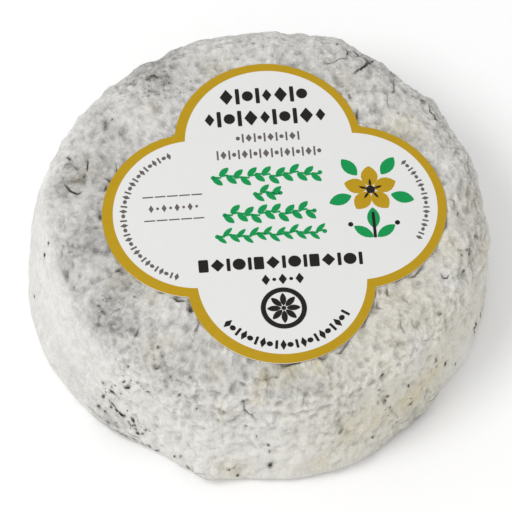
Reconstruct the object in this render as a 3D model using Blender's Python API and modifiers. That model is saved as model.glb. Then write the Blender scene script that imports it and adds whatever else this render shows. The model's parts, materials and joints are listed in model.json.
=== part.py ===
"""A small ash-coated goat cheese with a wrinkled mould rind and a four-lobed paper label on its top.

The cheese is a low, slightly conical disc that was shaped in a mould and turned by hand while it drained, so it
leans a little, its outline swells and dips, and its rind is wrinkled. It is turned from a profile and then pressed
out of round. The label is a thin sheet that lies on the crowned top, which is smooth under it.

Metres, +Z up. The cheese stands on z = 0 with the middle of its box over the origin, and -Y is its front.
"""

import math

import bmesh
import bpy
from mathutils import Vector, noise

MM = 0.001

# Driving dimensions of the cheese
FOOT_RADIUS = 45.0 * MM
HEIGHT = 27.0 * MM
SIDE_DRAFT = 2.6 * MM       # how far the side leans in between the foot and the shoulder
SHOULDER_RADIUS = 6.2 * MM
FOOT_ROUNDING = 2.2 * MM
CROWN = 0.9 * MM            # how far the top falls from its middle to the shoulder
LEAN = Vector((1.7, 0.5, 0.0)) * MM     # how far the top has slipped over the foot

# Driving dimensions of the label
LOBE_RADIUS = 18.1 * MM
LOBE_OFFSET = 15.0 * MM     # from the label's middle to the middle of each lobe
LABEL_CENTRE = Vector((2.9, -0.6, 0.0)) * MM
PAPER = 0.2 * MM
CLEARANCE = 0.3 * MM        # between the paper and the rind under it

# How finely the solids are divided
TURN_STEPS = 136
FACET = 1.8 * MM            # height of a row of faces on the rim and the side
BED_ROWS = 3                # under the label
SHOULDER_ROWS = 6
FOOT_ROWS = 4
SOLE_ROWS = 3
LABEL_STEPS = 80
LABEL_RINGS = 5

# The foot's outline gives way to the shoulder's between these shares of the height, and only the outer part of the
# disc is pushed out of round, between these shares of the foot's radius.
FOOT_TO_SHOULDER = (0.1, 0.75)
ROUND_TO_PRESSED = (0.6, 0.95)

# Swells and hollows of the outline: azimuth and half width in degrees, push outwards in metres.
# Azimuth 0 is the right-hand side (+X), 90 the back and 270 the front.
FOOT_SWELLS = (
    (175, 9, -0.8 * MM),
    (238, 9, -1.2 * MM),
    (253, 6, 1.4 * MM),
    (283, 13, 0.9 * MM),
    (305, 5, -0.5 * MM),
    (320, 8, -1.2 * MM),
    (354, 12, 0.4 * MM),
    (60, 25, 0.3 * MM),
    (130, 20, -0.4 * MM),
)
SHOULDER_SWELLS = (
    (166, 14, 1.5 * MM),
    (130, 10, -0.5 * MM),
    (87, 4, 0.5 * MM),
    (66, 8, 1.4 * MM),
    (54, 5, 0.8 * MM),
    (44, 5, -0.5 * MM),
    (34, 5, 0.4 * MM),
    (25, 4, -0.6 * MM),
    (350, 8, 0.7 * MM),
    (300, 20, -0.3 * MM),
)

# Wrinkles of the rind
LUMP_SPACING = 13.0 * MM
LUMP_DEPTH = 0.45 * MM
WRINKLE_SPACING = 6.0 * MM
WRINKLE_DEPTH = 0.32 * MM
WRINKLE_BEND = 0.6          # how far their course wanders, in spacings
SMOOTH_SIDE_AZIMUTH = 190   # the side where the mould has grown smooth
SMOOTH_SIDE_REACH = (25, 60)    # degrees away from it over which the wrinkles set in
SMOOTH_SIDE_SHARE = 0.35    # what is left of the wrinkles there
BARE_MARGIN = (0.5 * MM, 3.0 * MM)      # outside the label's edge, over which they set in on the top
FOOT_MARGIN = (0.5 * MM, 4.0 * MM)      # above the flat sole, over which they set in on the side


def clear_scene():
    for thing in list(bpy.data.objects):
        bpy.data.objects.remove(thing)


def smoothstep(limits, value):
    """Rises smoothly from 0 to 1 between two limits."""
    low, high = limits
    share = min(1.0, max(0.0, (value - low) / (high - low)))
    return share * share * (3 - 2 * share)


def turn_between(azimuth, other):
    """The signed angle in degrees from one azimuth to another, the short way round."""
    return (azimuth - other + 180) % 360 - 180


def material(name, colour, roughness):
    """A Principled BSDF with one colour, roughness and no metal."""
    made = bpy.data.materials.new(name)
    made.use_nodes = True
    shader = made.node_tree.nodes["Principled BSDF"]
    shader.inputs["Base Color"].default_value = (*colour, 1)
    shader.inputs["Roughness"].default_value = roughness
    shader.inputs["Metallic"].default_value = 0
    return made


def add_object(name, mesh, collection, finish):
    made = bpy.data.objects.new(name, mesh)
    made.data.materials.append(finish)
    collection.objects.link(made)
    return made


def turned_mesh(points, steps):
    """The closed or open mesh that a profile in the XZ plane sweeps in one turn about Z."""
    profile = bpy.data.meshes.new("profile")
    chain = [(i, i + 1) for i in range(len(points) - 1)]
    profile.from_pydata([(x, 0, z) for x, z in points], chain, [])
    guide = bpy.data.objects.new("profile", profile)
    bpy.context.scene.collection.objects.link(guide)
    screw = guide.modifiers.new("turn", "SCREW")
    screw.steps = steps
    screw.render_steps = steps
    screw.use_merge_vertices = True
    screw.merge_threshold = 0.01 * MM
    evaluated = guide.evaluated_get(bpy.context.evaluated_depsgraph_get())
    turned = bpy.data.meshes.new_from_object(evaluated)
    bpy.data.objects.remove(guide)
    bpy.data.meshes.remove(profile)
    return turned


def arc(centre, radius, first, last, pieces):
    """Points of an arc from one angle to another, in degrees, both ends included."""
    angles = [math.radians(first + (last - first) * i / pieces) for i in range(pieces + 1)]
    return [(centre[0] + radius * math.cos(a), centre[1] + radius * math.sin(a)) for a in angles]


def straight(first, last, pieces):
    """Points between two ends, which are left out."""
    return [
        (first[0] + (last[0] - first[0]) * i / pieces, first[1] + (last[1] - first[1]) * i / pieces)
        for i in range(1, pieces)
    ]


def body_profile():
    """Half the cheese's section, from the middle of the top down its side to the middle of the foot."""
    shoulder_out = FOOT_RADIUS - SIDE_DRAFT
    shoulder = (shoulder_out - SHOULDER_RADIUS, HEIGHT - CROWN - SHOULDER_RADIUS)
    foot = (FOOT_RADIUS - FOOT_ROUNDING, FOOT_ROUNDING)
    slope = math.degrees(math.atan2(SIDE_DRAFT, shoulder[1] - foot[1]))
    round_top = arc(shoulder, SHOULDER_RADIUS, 90, slope, SHOULDER_ROWS)
    round_foot = arc(foot, FOOT_ROUNDING, slope, -90, FOOT_ROWS)
    bed_edge = LOBE_OFFSET + LOBE_RADIUS / 2
    bed = [bed_edge * row / BED_ROWS for row in range(BED_ROWS + 1)]
    rim = [x for x, _ in straight((bed_edge, 0), (shoulder[0], 0), round((shoulder[0] - bed_edge) / FACET))]
    top = [(x, HEIGHT - crown_drop(x)) for x in bed + rim]
    side = straight(round_top[-1], round_foot[0], round((shoulder[1] - foot[1]) / FACET))
    sole = straight(round_foot[-1], (0, 0), SOLE_ROWS)
    return top + round_top + side + round_foot + sole + [(0, 0)]


def crown_drop(radius):
    """How far the crowned top lies under its middle, at a distance from it."""
    reach = FOOT_RADIUS - SIDE_DRAFT - SHOULDER_RADIUS
    return CROWN * (radius / reach) ** 2


def swell(azimuth, swells):
    """How far the outline is pushed out at an azimuth in degrees."""
    total = 0.0
    for middle, width, push in swells:
        total += push * math.exp(-((turn_between(azimuth, middle) / width) ** 2))
    return total


def label_gap(x, y):
    """Distance from the label's edge, over zero outside it."""
    lobes = ((1, 0), (0, 1), (-1, 0), (0, -1))
    place = Vector((x, y)) - LABEL_CENTRE.xy
    return min((place - LOBE_OFFSET * Vector(lobe)).length for lobe in lobes) - LOBE_RADIUS


def top_height(x, y):
    """Height of the crowned top, without its wrinkles."""
    return HEIGHT - crown_drop(math.hypot(x - LEAN.x, y - LEAN.y))


def wrinkles(place, azimuth):
    """How far the rind stands proud at a place: broad lumps, and furrows between rounded worms of mould."""
    lumps = LUMP_DEPTH * noise.noise(place / LUMP_SPACING)
    course = place / WRINKLE_SPACING + WRINKLE_BEND * noise.noise_vector(place / (2 * WRINKLE_SPACING))
    ridge = 1 - 4 * abs(noise.noise(course))
    away = abs(turn_between(azimuth, SMOOTH_SIDE_AZIMUTH))
    rough = SMOOTH_SIDE_SHARE + (1 - SMOOTH_SIDE_SHARE) * smoothstep(SMOOTH_SIDE_REACH, away)
    return lumps + WRINKLE_DEPTH * ridge * rough


def shape_cheese(mesh):
    """Presses the turned disc out of round, slips its top sideways and wrinkles its rind."""
    shaped = bmesh.new()
    shaped.from_mesh(mesh)
    shaped.normal_update()
    normals = {v.index: v.normal.copy() for v in shaped.verts}
    for v in shaped.verts:
        radius = math.hypot(v.co.x, v.co.y)
        azimuth = math.degrees(math.atan2(v.co.y, v.co.x)) % 360
        up = smoothstep(FOOT_TO_SHOULDER, v.co.z / HEIGHT)
        push = (1 - up) * swell(azimuth, FOOT_SWELLS) + up * swell(azimuth, SHOULDER_SWELLS)
        v.co.xy *= 1 + push * smoothstep(ROUND_TO_PRESSED, radius / FOOT_RADIUS) / FOOT_RADIUS
        v.co += LEAN * (v.co.z / HEIGHT)
        if v.co.z < HEIGHT / 2:
            rough = smoothstep(FOOT_MARGIN, v.co.z)
        else:
            rough = smoothstep(BARE_MARGIN, label_gap(v.co.x, v.co.y))
        v.co += normals[v.index] * wrinkles(v.co, azimuth) * rough
    shaped.to_mesh(mesh)
    shaped.free()


def lobed_radius(angle):
    """Distance from the label's middle to its edge, towards an angle in radians."""
    off_lobe = (angle + math.pi / 4) % (math.pi / 2) - math.pi / 4
    across = LOBE_OFFSET * math.sin(off_lobe)
    return LOBE_OFFSET * math.cos(off_lobe) + math.sqrt(LOBE_RADIUS**2 - across**2)


def shape_label(mesh):
    """Stretches a flat round disc of radius 1 to the four lobes and lays it over the crowned top."""
    for v in mesh.vertices:
        reach = math.hypot(v.co.x, v.co.y) * lobed_radius(math.atan2(v.co.y, v.co.x))
        flat = v.co.xy.normalized() * reach + LABEL_CENTRE.xy
        v.co = (flat.x, flat.y, top_height(flat.x, flat.y) + CLEARANCE)


def triangulate(mesh):
    """Splits every face, so that both sides of the sheet that it becomes are faceted alike."""
    split = bmesh.new()
    split.from_mesh(mesh)
    bmesh.ops.triangulate(split, faces=split.faces)
    split.to_mesh(mesh)
    split.free()


def build_cheese(collection):
    mesh = turned_mesh(body_profile(), TURN_STEPS)
    shape_cheese(mesh)
    mesh.shade_smooth()
    return add_object("cheese", mesh, collection, material("ash_rind", (0.57, 0.55, 0.51), 0.85))


def build_label(collection):
    disc = [(ring / LABEL_RINGS, 0) for ring in range(LABEL_RINGS + 1)]
    mesh = turned_mesh(disc, LABEL_STEPS)
    shape_label(mesh)
    triangulate(mesh)
    label = add_object("paper_label", mesh, collection, material("label_paper", (0.80, 0.80, 0.79), 0.55))
    sheet = label.modifiers.new("paper", "SOLIDIFY")
    sheet.thickness = PAPER
    sheet.offset = 1
    return label


def centre_over_origin(cheese, others):
    """Moves everything sideways so that the middle of the cheese's box is over the origin."""
    xs = [v.co.x for v in cheese.data.vertices]
    ys = [v.co.y for v in cheese.data.vertices]
    middle = Vector(((min(xs) + max(xs)) / 2, (min(ys) + max(ys)) / 2, 0))
    for made in (cheese, *others):
        made.location = -middle


clear_scene()
goat_cheese = bpy.data.collections.new("goat_cheese")
bpy.context.scene.collection.children.link(goat_cheese)
cheese_body = build_cheese(goat_cheese)
paper_label = build_label(goat_cheese)
centre_over_origin(cheese_body, [paper_label])
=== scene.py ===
# %% [markdown]
# # An ash-coated goat cheese with a paper label
# The object is a small ripened cheese, about 90 mm across and 27 mm high. Its curd was turned out of a
# mould, salted and dusted with charcoal ash, and then white mould grew over the ash and wrinkled. A
# four-lobed paper label lies on the top. This lesson shapes the rind first, then paints it from its own
# relief, and prints the label last.

# %% Load the frame
import json
import math

import bpy
import numpy as np
from mathutils import Matrix, Quaternion, Vector, noise
from mathutils.bvhtree import BVHTree

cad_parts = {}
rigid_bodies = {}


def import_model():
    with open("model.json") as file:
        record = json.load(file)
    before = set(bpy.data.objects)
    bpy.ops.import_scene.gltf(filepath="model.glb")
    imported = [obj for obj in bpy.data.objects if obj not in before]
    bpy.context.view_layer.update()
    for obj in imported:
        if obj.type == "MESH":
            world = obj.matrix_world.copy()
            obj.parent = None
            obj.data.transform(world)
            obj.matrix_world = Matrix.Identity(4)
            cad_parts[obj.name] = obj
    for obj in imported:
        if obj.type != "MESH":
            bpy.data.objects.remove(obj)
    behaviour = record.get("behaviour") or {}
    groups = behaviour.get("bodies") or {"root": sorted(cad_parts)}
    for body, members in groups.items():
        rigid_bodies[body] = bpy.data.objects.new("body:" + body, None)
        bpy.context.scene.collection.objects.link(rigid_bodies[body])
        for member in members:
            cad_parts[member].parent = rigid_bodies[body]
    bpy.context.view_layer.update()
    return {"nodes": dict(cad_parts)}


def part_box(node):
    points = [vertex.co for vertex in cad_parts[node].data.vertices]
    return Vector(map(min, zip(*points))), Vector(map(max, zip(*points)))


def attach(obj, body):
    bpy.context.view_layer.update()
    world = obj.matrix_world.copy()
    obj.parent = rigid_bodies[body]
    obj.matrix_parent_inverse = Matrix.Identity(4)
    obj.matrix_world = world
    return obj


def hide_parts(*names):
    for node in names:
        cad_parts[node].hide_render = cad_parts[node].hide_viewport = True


MM = 0.001
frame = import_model()

# %% [markdown]
# ## The camera
# The cheese was seen from above, a little to the left of the label's foot, with the camera tilted by a few
# degrees. The label's lobes show next to no perspective, so the lens is long and far away. A long lens also
# keeps the round outline true, which a near camera would swell at the front.

# %% Set the camera
VIEW_AZIMUTH = math.radians(-8.1)
VIEW_ELEVATION = math.radians(60.6)
VIEW_ROLL = math.radians(3.9)
VIEW_DISTANCE = 1200 * MM
FRAME_WIDTH = 99.3 * MM         # what the square picture takes in at the aim
AIM = Vector((-0.6, 0.0, 9.2)) * MM
SENSOR = 36.0                   # mm, as Blender counts it


def towards(azimuth, elevation):
    """The direction from the cheese at an azimuth and an elevation, azimuth 0 being the front."""
    flat = math.cos(elevation)
    return Vector((math.sin(azimuth) * flat, -math.cos(azimuth) * flat, math.sin(elevation)))


bpy.ops.object.camera_add(location=AIM + towards(VIEW_AZIMUTH, VIEW_ELEVATION) * VIEW_DISTANCE)
camera = bpy.context.active_object
camera.name = "camera"
camera.rotation_mode = "QUATERNION"
looking = (-towards(VIEW_AZIMUTH, VIEW_ELEVATION)).to_track_quat("-Z", "Y")
camera.rotation_quaternion = looking @ Quaternion((0, 0, 1), VIEW_ROLL)
camera.data.sensor_width = SENSOR
camera.data.lens = SENSOR * VIEW_DISTANCE / FRAME_WIDTH
bpy.context.scene.camera = camera
print("lens", round(camera.data.lens), "mm")

# %% [markdown]
# ## Small helpers
# Every operator acts on what is selected, so each step first deselects everything and then picks its own
# piece. A modifier that has done its work is applied, so that the piece ends as a plain mesh at the origin.


# %% Helpers for operators and modifiers
def select_only(piece):
    """Selects one piece alone and makes it the active one."""
    bpy.ops.object.select_all(action="DESELECT")
    piece.select_set(True)
    bpy.context.view_layer.objects.active = piece


def settle(piece, name):
    """Names a new primitive and puts its place and scale into its mesh."""
    select_only(piece)
    piece.name = name
    piece.data.name = name
    bpy.ops.object.transform_apply(location=True, rotation=True, scale=True)
    return piece


def modify(piece, kind, **settings):
    """Adds a modifier with its settings and applies it."""
    select_only(piece)
    modifier = piece.modifiers.new(kind.lower(), kind)
    for key, value in settings.items():
        setattr(modifier, key, value)
    bpy.ops.object.modifier_apply(modifier=modifier.name)


def pick(piece, mode, wanted):
    """Leaves exactly the wanted vertices, edges or faces selected, in edit mode."""
    select_only(piece)
    bpy.ops.object.mode_set(mode="EDIT")
    bpy.ops.mesh.select_mode(type=mode)
    bpy.ops.mesh.select_all(action="DESELECT")
    bpy.ops.object.mode_set(mode="OBJECT")
    parts = {"VERT": piece.data.vertices, "EDGE": piece.data.edges, "FACE": piece.data.polygons}[mode]
    for part in parts:
        part.select = wanted(part)
    bpy.ops.object.mode_set(mode="EDIT")


def smoothstep(low, high, value):
    """Rises smoothly from 0 to 1 as the value goes from low to high."""
    share = np.clip((value - low) / (high - low), 0, 1)
    return share * share * (3 - 2 * share)


# %% [markdown]
# ## The cheese's body
# A fine, even mesh is needed before any wrinkle can be raised on it. A beveled cylinder has the right rims
# but long faces, so the Remesh modifier turns it into even quads under half a millimetre wide. Shrinkwrap
# then lays those quads on the solid of the frame, with its lean, its swells and its hollows, and Smooth
# wipes out the solid's facets.

# %% Block out the body
QUAD = 0.375 * MM               # the width of the mesh's faces
SHOULDER = 6.0 * MM
FOOT_EDGE = 2.0 * MM
BLANK_MARGIN = 1.0 * MM         # that the blank is smaller than the cheese's foot
low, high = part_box("cheese")
body_height = high.z - low.z
bpy.ops.mesh.primitive_cylinder_add(
    vertices=128,
    radius=(high.x - low.x) / 2 - BLANK_MARGIN,
    depth=body_height,
    location=(0, 0, body_height / 2),
)
rind = settle(bpy.context.active_object, "ash_rind")


def rim_at(piece, level):
    """Selects the edges that lie all along one level of a piece."""
    corners = piece.data.vertices
    pick(piece, "EDGE", lambda edge: all(abs(corners[i].co.z - level) < 1e-6 for i in edge.vertices))


rim_at(rind, body_height)
bpy.ops.mesh.bevel(offset=SHOULDER, segments=6)
bpy.ops.object.mode_set(mode="OBJECT")
rim_at(rind, 0)
bpy.ops.mesh.bevel(offset=FOOT_EDGE, segments=3)
bpy.ops.object.mode_set(mode="OBJECT")

# %% Lay an even mesh over the frame's solid
modify(rind, "REMESH", mode="VOXEL", voxel_size=QUAD)
modify(rind, "SHRINKWRAP", target=frame["nodes"]["cheese"], wrap_method="NEAREST_SURFACEPOINT")
modify(rind, "SMOOTH", factor=0.5, iterations=24)
print("even body:", len(rind.data.vertices), "vertices,", len(rind.data.polygons), "faces")

# %% [markdown]
# ## Hidden faces
# The sole and the middle of the bed under the label are never seen from near, and they hold a third of all
# the quads. Decimate collapses them in edit mode, where it works on the selected faces only, and the quads
# that it saves go where the wrinkles show.

# %% Thin out the hidden faces
LOBE_RADIUS = 18.1              # mm
LOBE_OFFSET = 15.0              # mm from the label's middle to that of a lobe
HIDDEN_MARGIN = 3.5             # mm inside the label's edge that keeps the fine mesh
HIDDEN_SHARE = 0.035            # of the hidden faces that stays
SOLE_LEVEL = 0.02               # mm, and every point below it is on the sole
BED_LEVEL = 24                  # mm, and every point above it is on the top
label_low, label_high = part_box("paper_label")
label_middle = np.array((label_low + label_high) / 2 / MM)
LOBES = np.array([(1, 0), (0, 1), (-1, 0), (0, -1)]) * LOBE_OFFSET


def from_label(places):
    """Distance in mm outside the label's outline, under 0 inside it."""
    apart = places[:, None, :2] - (LOBES + label_middle[:2])
    return np.linalg.norm(apart, axis=2).min(axis=1) - LOBE_RADIUS


def read(mesh, name):
    """Reads the points or the normals of a mesh as rows of three numbers."""
    values = np.empty(len(mesh.vertices) * 3, np.float32)
    mesh.vertices.foreach_get(name, values)
    return values.reshape(-1, 3).astype(float)


def thin_out(piece, hidden, share):
    """Collapses the faces whose points are all hidden, down to a share of their number."""
    pick(piece, "FACE", lambda face: all(hidden[i] for i in face.vertices))
    bpy.ops.mesh.decimate(ratio=share)
    bpy.ops.object.mode_set(mode="OBJECT")


points = read(rind.data, "co") / MM
sole = points[:, 2] < SOLE_LEVEL
bed = (points[:, 2] > BED_LEVEL) & (from_label(points) < -HIDDEN_MARGIN)
thin_out(rind, sole | bed, HIDDEN_SHARE)
rind.data.calc_loop_triangles()
print("rind:", len(rind.data.loop_triangles), "triangles")

# %% [markdown]
# ## Reading the body
# The wrinkles follow the surface itself and not a flat picture, so the next cells work on the mesh as a net
# of points, each with its neighbours. One function spreads a value from each point to its neighbours. Done
# again and again it is a blur whose width is known in millimetres, and blurs of a soft noise are all that
# the rind's folds need.

# %% Read the points and their neighbours
points = read(rind.data, "co") / MM
ends = np.empty(len(rind.data.edges) * 2, np.int32)
rind.data.edges.foreach_get("vertices", ends)
ends = ends.reshape(-1, 2)
spacing = np.median(np.linalg.norm(points[ends[:, 0]] - points[ends[:, 1]], axis=1))
print("spacing of the points:", round(float(spacing), 3), "mm")


def spread(values, weights):
    """Sums over each point's edges the value at the other end times the edge's weight."""
    near = np.bincount(ends[:, 0], weights * values[ends[:, 1]], len(values))
    return near + np.bincount(ends[:, 1], weights * values[ends[:, 0]], len(values))


def blur(values, width, weights=None):
    """Blurs values over the surface by a width in mm, which is the standard deviation."""
    weights = np.ones(len(ends)) if weights is None else weights
    total = spread(np.ones(len(values)), weights)
    rounds = max(1, round(4 * (width / spacing) ** 2))     # a round adds a quarter of the spacing squared
    for _ in range(rounds):
        values = (values + spread(values, weights) / total) / 2
    return values


def clouds(size, seed, depth=2, stretch=(1, 1, 1)):
    """Soft noise of about one change per size in mm, from -1 to 1, from the points' own places."""
    shift = Vector((seed * 17.3, seed * 5.1, seed * 11.7))
    scaled = points / size / np.array(stretch)
    return np.array([noise.fractal(Vector(p) + shift, 1.0, 2.0, depth) for p in scaled])


# %% [markdown]
# ## Where things are on the rind
# The mould grew differently in different places. The left side has gone smooth and white, the front between
# the label and the edge is the most wrinkled, and the far left of the top is still grey with ash. Each zone
# is one number for every point, from 0 to 1, worked out from its place. Azimuth 0 is the right, and 270
# degrees is the front.

# %% Zones of the rind
azimuth = np.degrees(np.arctan2(points[:, 1], points[:, 0])) % 360
level = points[:, 2]


def around(middle, reach):
    """1 at an azimuth in degrees, falling to 0 at a reach from it on both sides."""
    away = np.abs((azimuth - middle + 180) % 360 - 180)
    return 1 - smoothstep(0, reach, away)


def patches(rows):
    """Adds up round patches, each with its strength, its size and its place in mm, over which it fades."""
    total = np.zeros(len(points))
    for strength, size, place in rows:
        away = np.linalg.norm(points - np.array(place), axis=1)
        total += strength * np.exp(-((away / size) ** 2))
    return total


PITTED_PLACES = (               # strength, size and place in mm
    (1.0, 8, (-29.5, -31.5, 9)),
    (0.5, 5, (38.5, -11, 25)),
    (0.5, 11, (31, -29, 12)),
    (0.7, 7, (-18, 30, 26)),
    (0.35, 6, (-36, 8, 26)),
    (0.7, 4.5, (-31, -19, 26)),
)
label_gap = from_label(points)
on_top = smoothstep(20, 25, level)
on_side = 1 - on_top
upper = smoothstep(12, 19, level)
off_sole = smoothstep(0.4, 3.5, level)
under_label = on_top * (1 - smoothstep(-2.5, -0.5, label_gap))
white_side = around(190, 62) * on_side
wrinkled = np.clip(around(275, 105) * 1.25, 0, 1) * upper
granular = around(20, 75)
pitted = patches(PITTED_PLACES) + 0.3 * around(90, 120)
zones = {"top": on_top, "white side": white_side, "wrinkled": wrinkled, "pitted": pitted}
print("mean of each zone:", {name: round(float(zone.mean()), 2) for name, zone in zones.items()})

# %% [markdown]
# ## Growing the wrinkles
# Folds in a rind space themselves: each one lifts its close surroundings and holds down what lies a little
# further off. The same rule makes them here. A fine noise is blurred a little, and a wider blur is taken
# away from it, which leaves folds of one pitch. The rule is used once, because more turns would comb the
# folds into a regular maze, and the real ones are short and broken. As the cheese dried, the skin slid down
# its slope, so at the front and the left of the top the folds run outwards, and elsewhere they lie across
# the slope. Edges that point along the folds get more weight in the blur. Between the folds the mould
# stands in small domes, which are cells of a noise.

# %% Which way the folds run
outwards = np.stack([np.cos(np.radians(azimuth)), np.sin(np.radians(azimuth)), np.zeros(len(points))], axis=1)
downhill = outwards * on_top[:, None] - np.array([0, 0, 1]) * on_side[:, None]
downhill /= np.linalg.norm(downhill, axis=1)[:, None]
run = points[ends[:, 1]] - points[ends[:, 0]]
run /= np.maximum(np.linalg.norm(run, axis=1), 1e-9)[:, None]
slope = (run * downhill[ends[:, 0]]).sum(axis=1) ** 2
bias = upper * (0.9 * around(250, 85) - 0.35) - 0.2 * (1 - upper)     # over 0 where folds run downhill
along_folds = 1 + bias[ends[:, 0]] * (2 * slope - 1)
print("weight of an edge in the blur:", round(along_folds.min(), 2), "to", round(along_folds.max(), 2))


# %% Fold patterns
def folds(pitch, seed):
    """Worm-like folds of a pitch in mm, about -1 in the furrows and 1 on the ridges."""
    ratio = 3.5                                      # of the wide blur's variance to the narrow one's
    narrow = pitch * math.sqrt(math.log(ratio) / (2 * math.pi**2 * (ratio - 1)))
    lifted = blur(clouds(pitch / 3, seed, 1), narrow, along_folds)
    pattern = lifted - blur(lifted, narrow * math.sqrt(ratio - 1), along_folds)
    return np.tanh(1.1 * pattern / pattern.std())


def plump(pattern):
    """Swells the ridges and narrows the furrows of a pattern that runs from -1 to 1."""
    return 1 - 2 * (0.5 - 0.5 * np.clip(pattern, -1, 1)) ** 2.8


# %% Domes between the folds
def domes(pitch, seed):
    """Lumps of about a pitch in mm, from 0 to 1 on their tops, and the gaps between them, which are 1."""
    noise.seed_set(seed)                             # turbulence_vector draws its own shift by chance
    shift = Vector((seed * 7.7, seed * 19.1, seed * 3.3))
    heights = []
    edges = []
    for place in points * (1, 1, 0.62) / pitch:      # the domes are taller than they are wide
        strayed = Vector(place) + shift
        strayed += 0.42 * noise.turbulence_vector(1.2 * strayed, 3, False)
        nearest, second = noise.voronoi(strayed)[0][:2]
        heights.append(0.55 * (1 - nearest) + 0.45 * min(1, 1.8 * (second - nearest)))
        edges.append(second - nearest)
    return np.array(heights), 1 - smoothstep(0.04, 0.24, np.array(edges))


# %% Grow the patterns
fine_folds = plump(folds(2.0, 1))
broad_folds = plump(folds(3.6, 2))
grit = plump(folds(1.3, 5))
lumps = folds(7.0, 3)
slumps = clouds(3.2, 16, 2, stretch=(1, 1, 1.8))
streaks = clouds(1.6, 9, 2, stretch=(1, 1, 5))
cobbles, gaps = domes(2.5, 21)
patterns = (fine_folds, broad_folds, grit, lumps, slumps, streaks, cobbles, gaps)
print("patterns, mean and spread:", [(round(float(p.mean()), 2), round(float(p.std()), 2)) for p in patterns])
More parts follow.
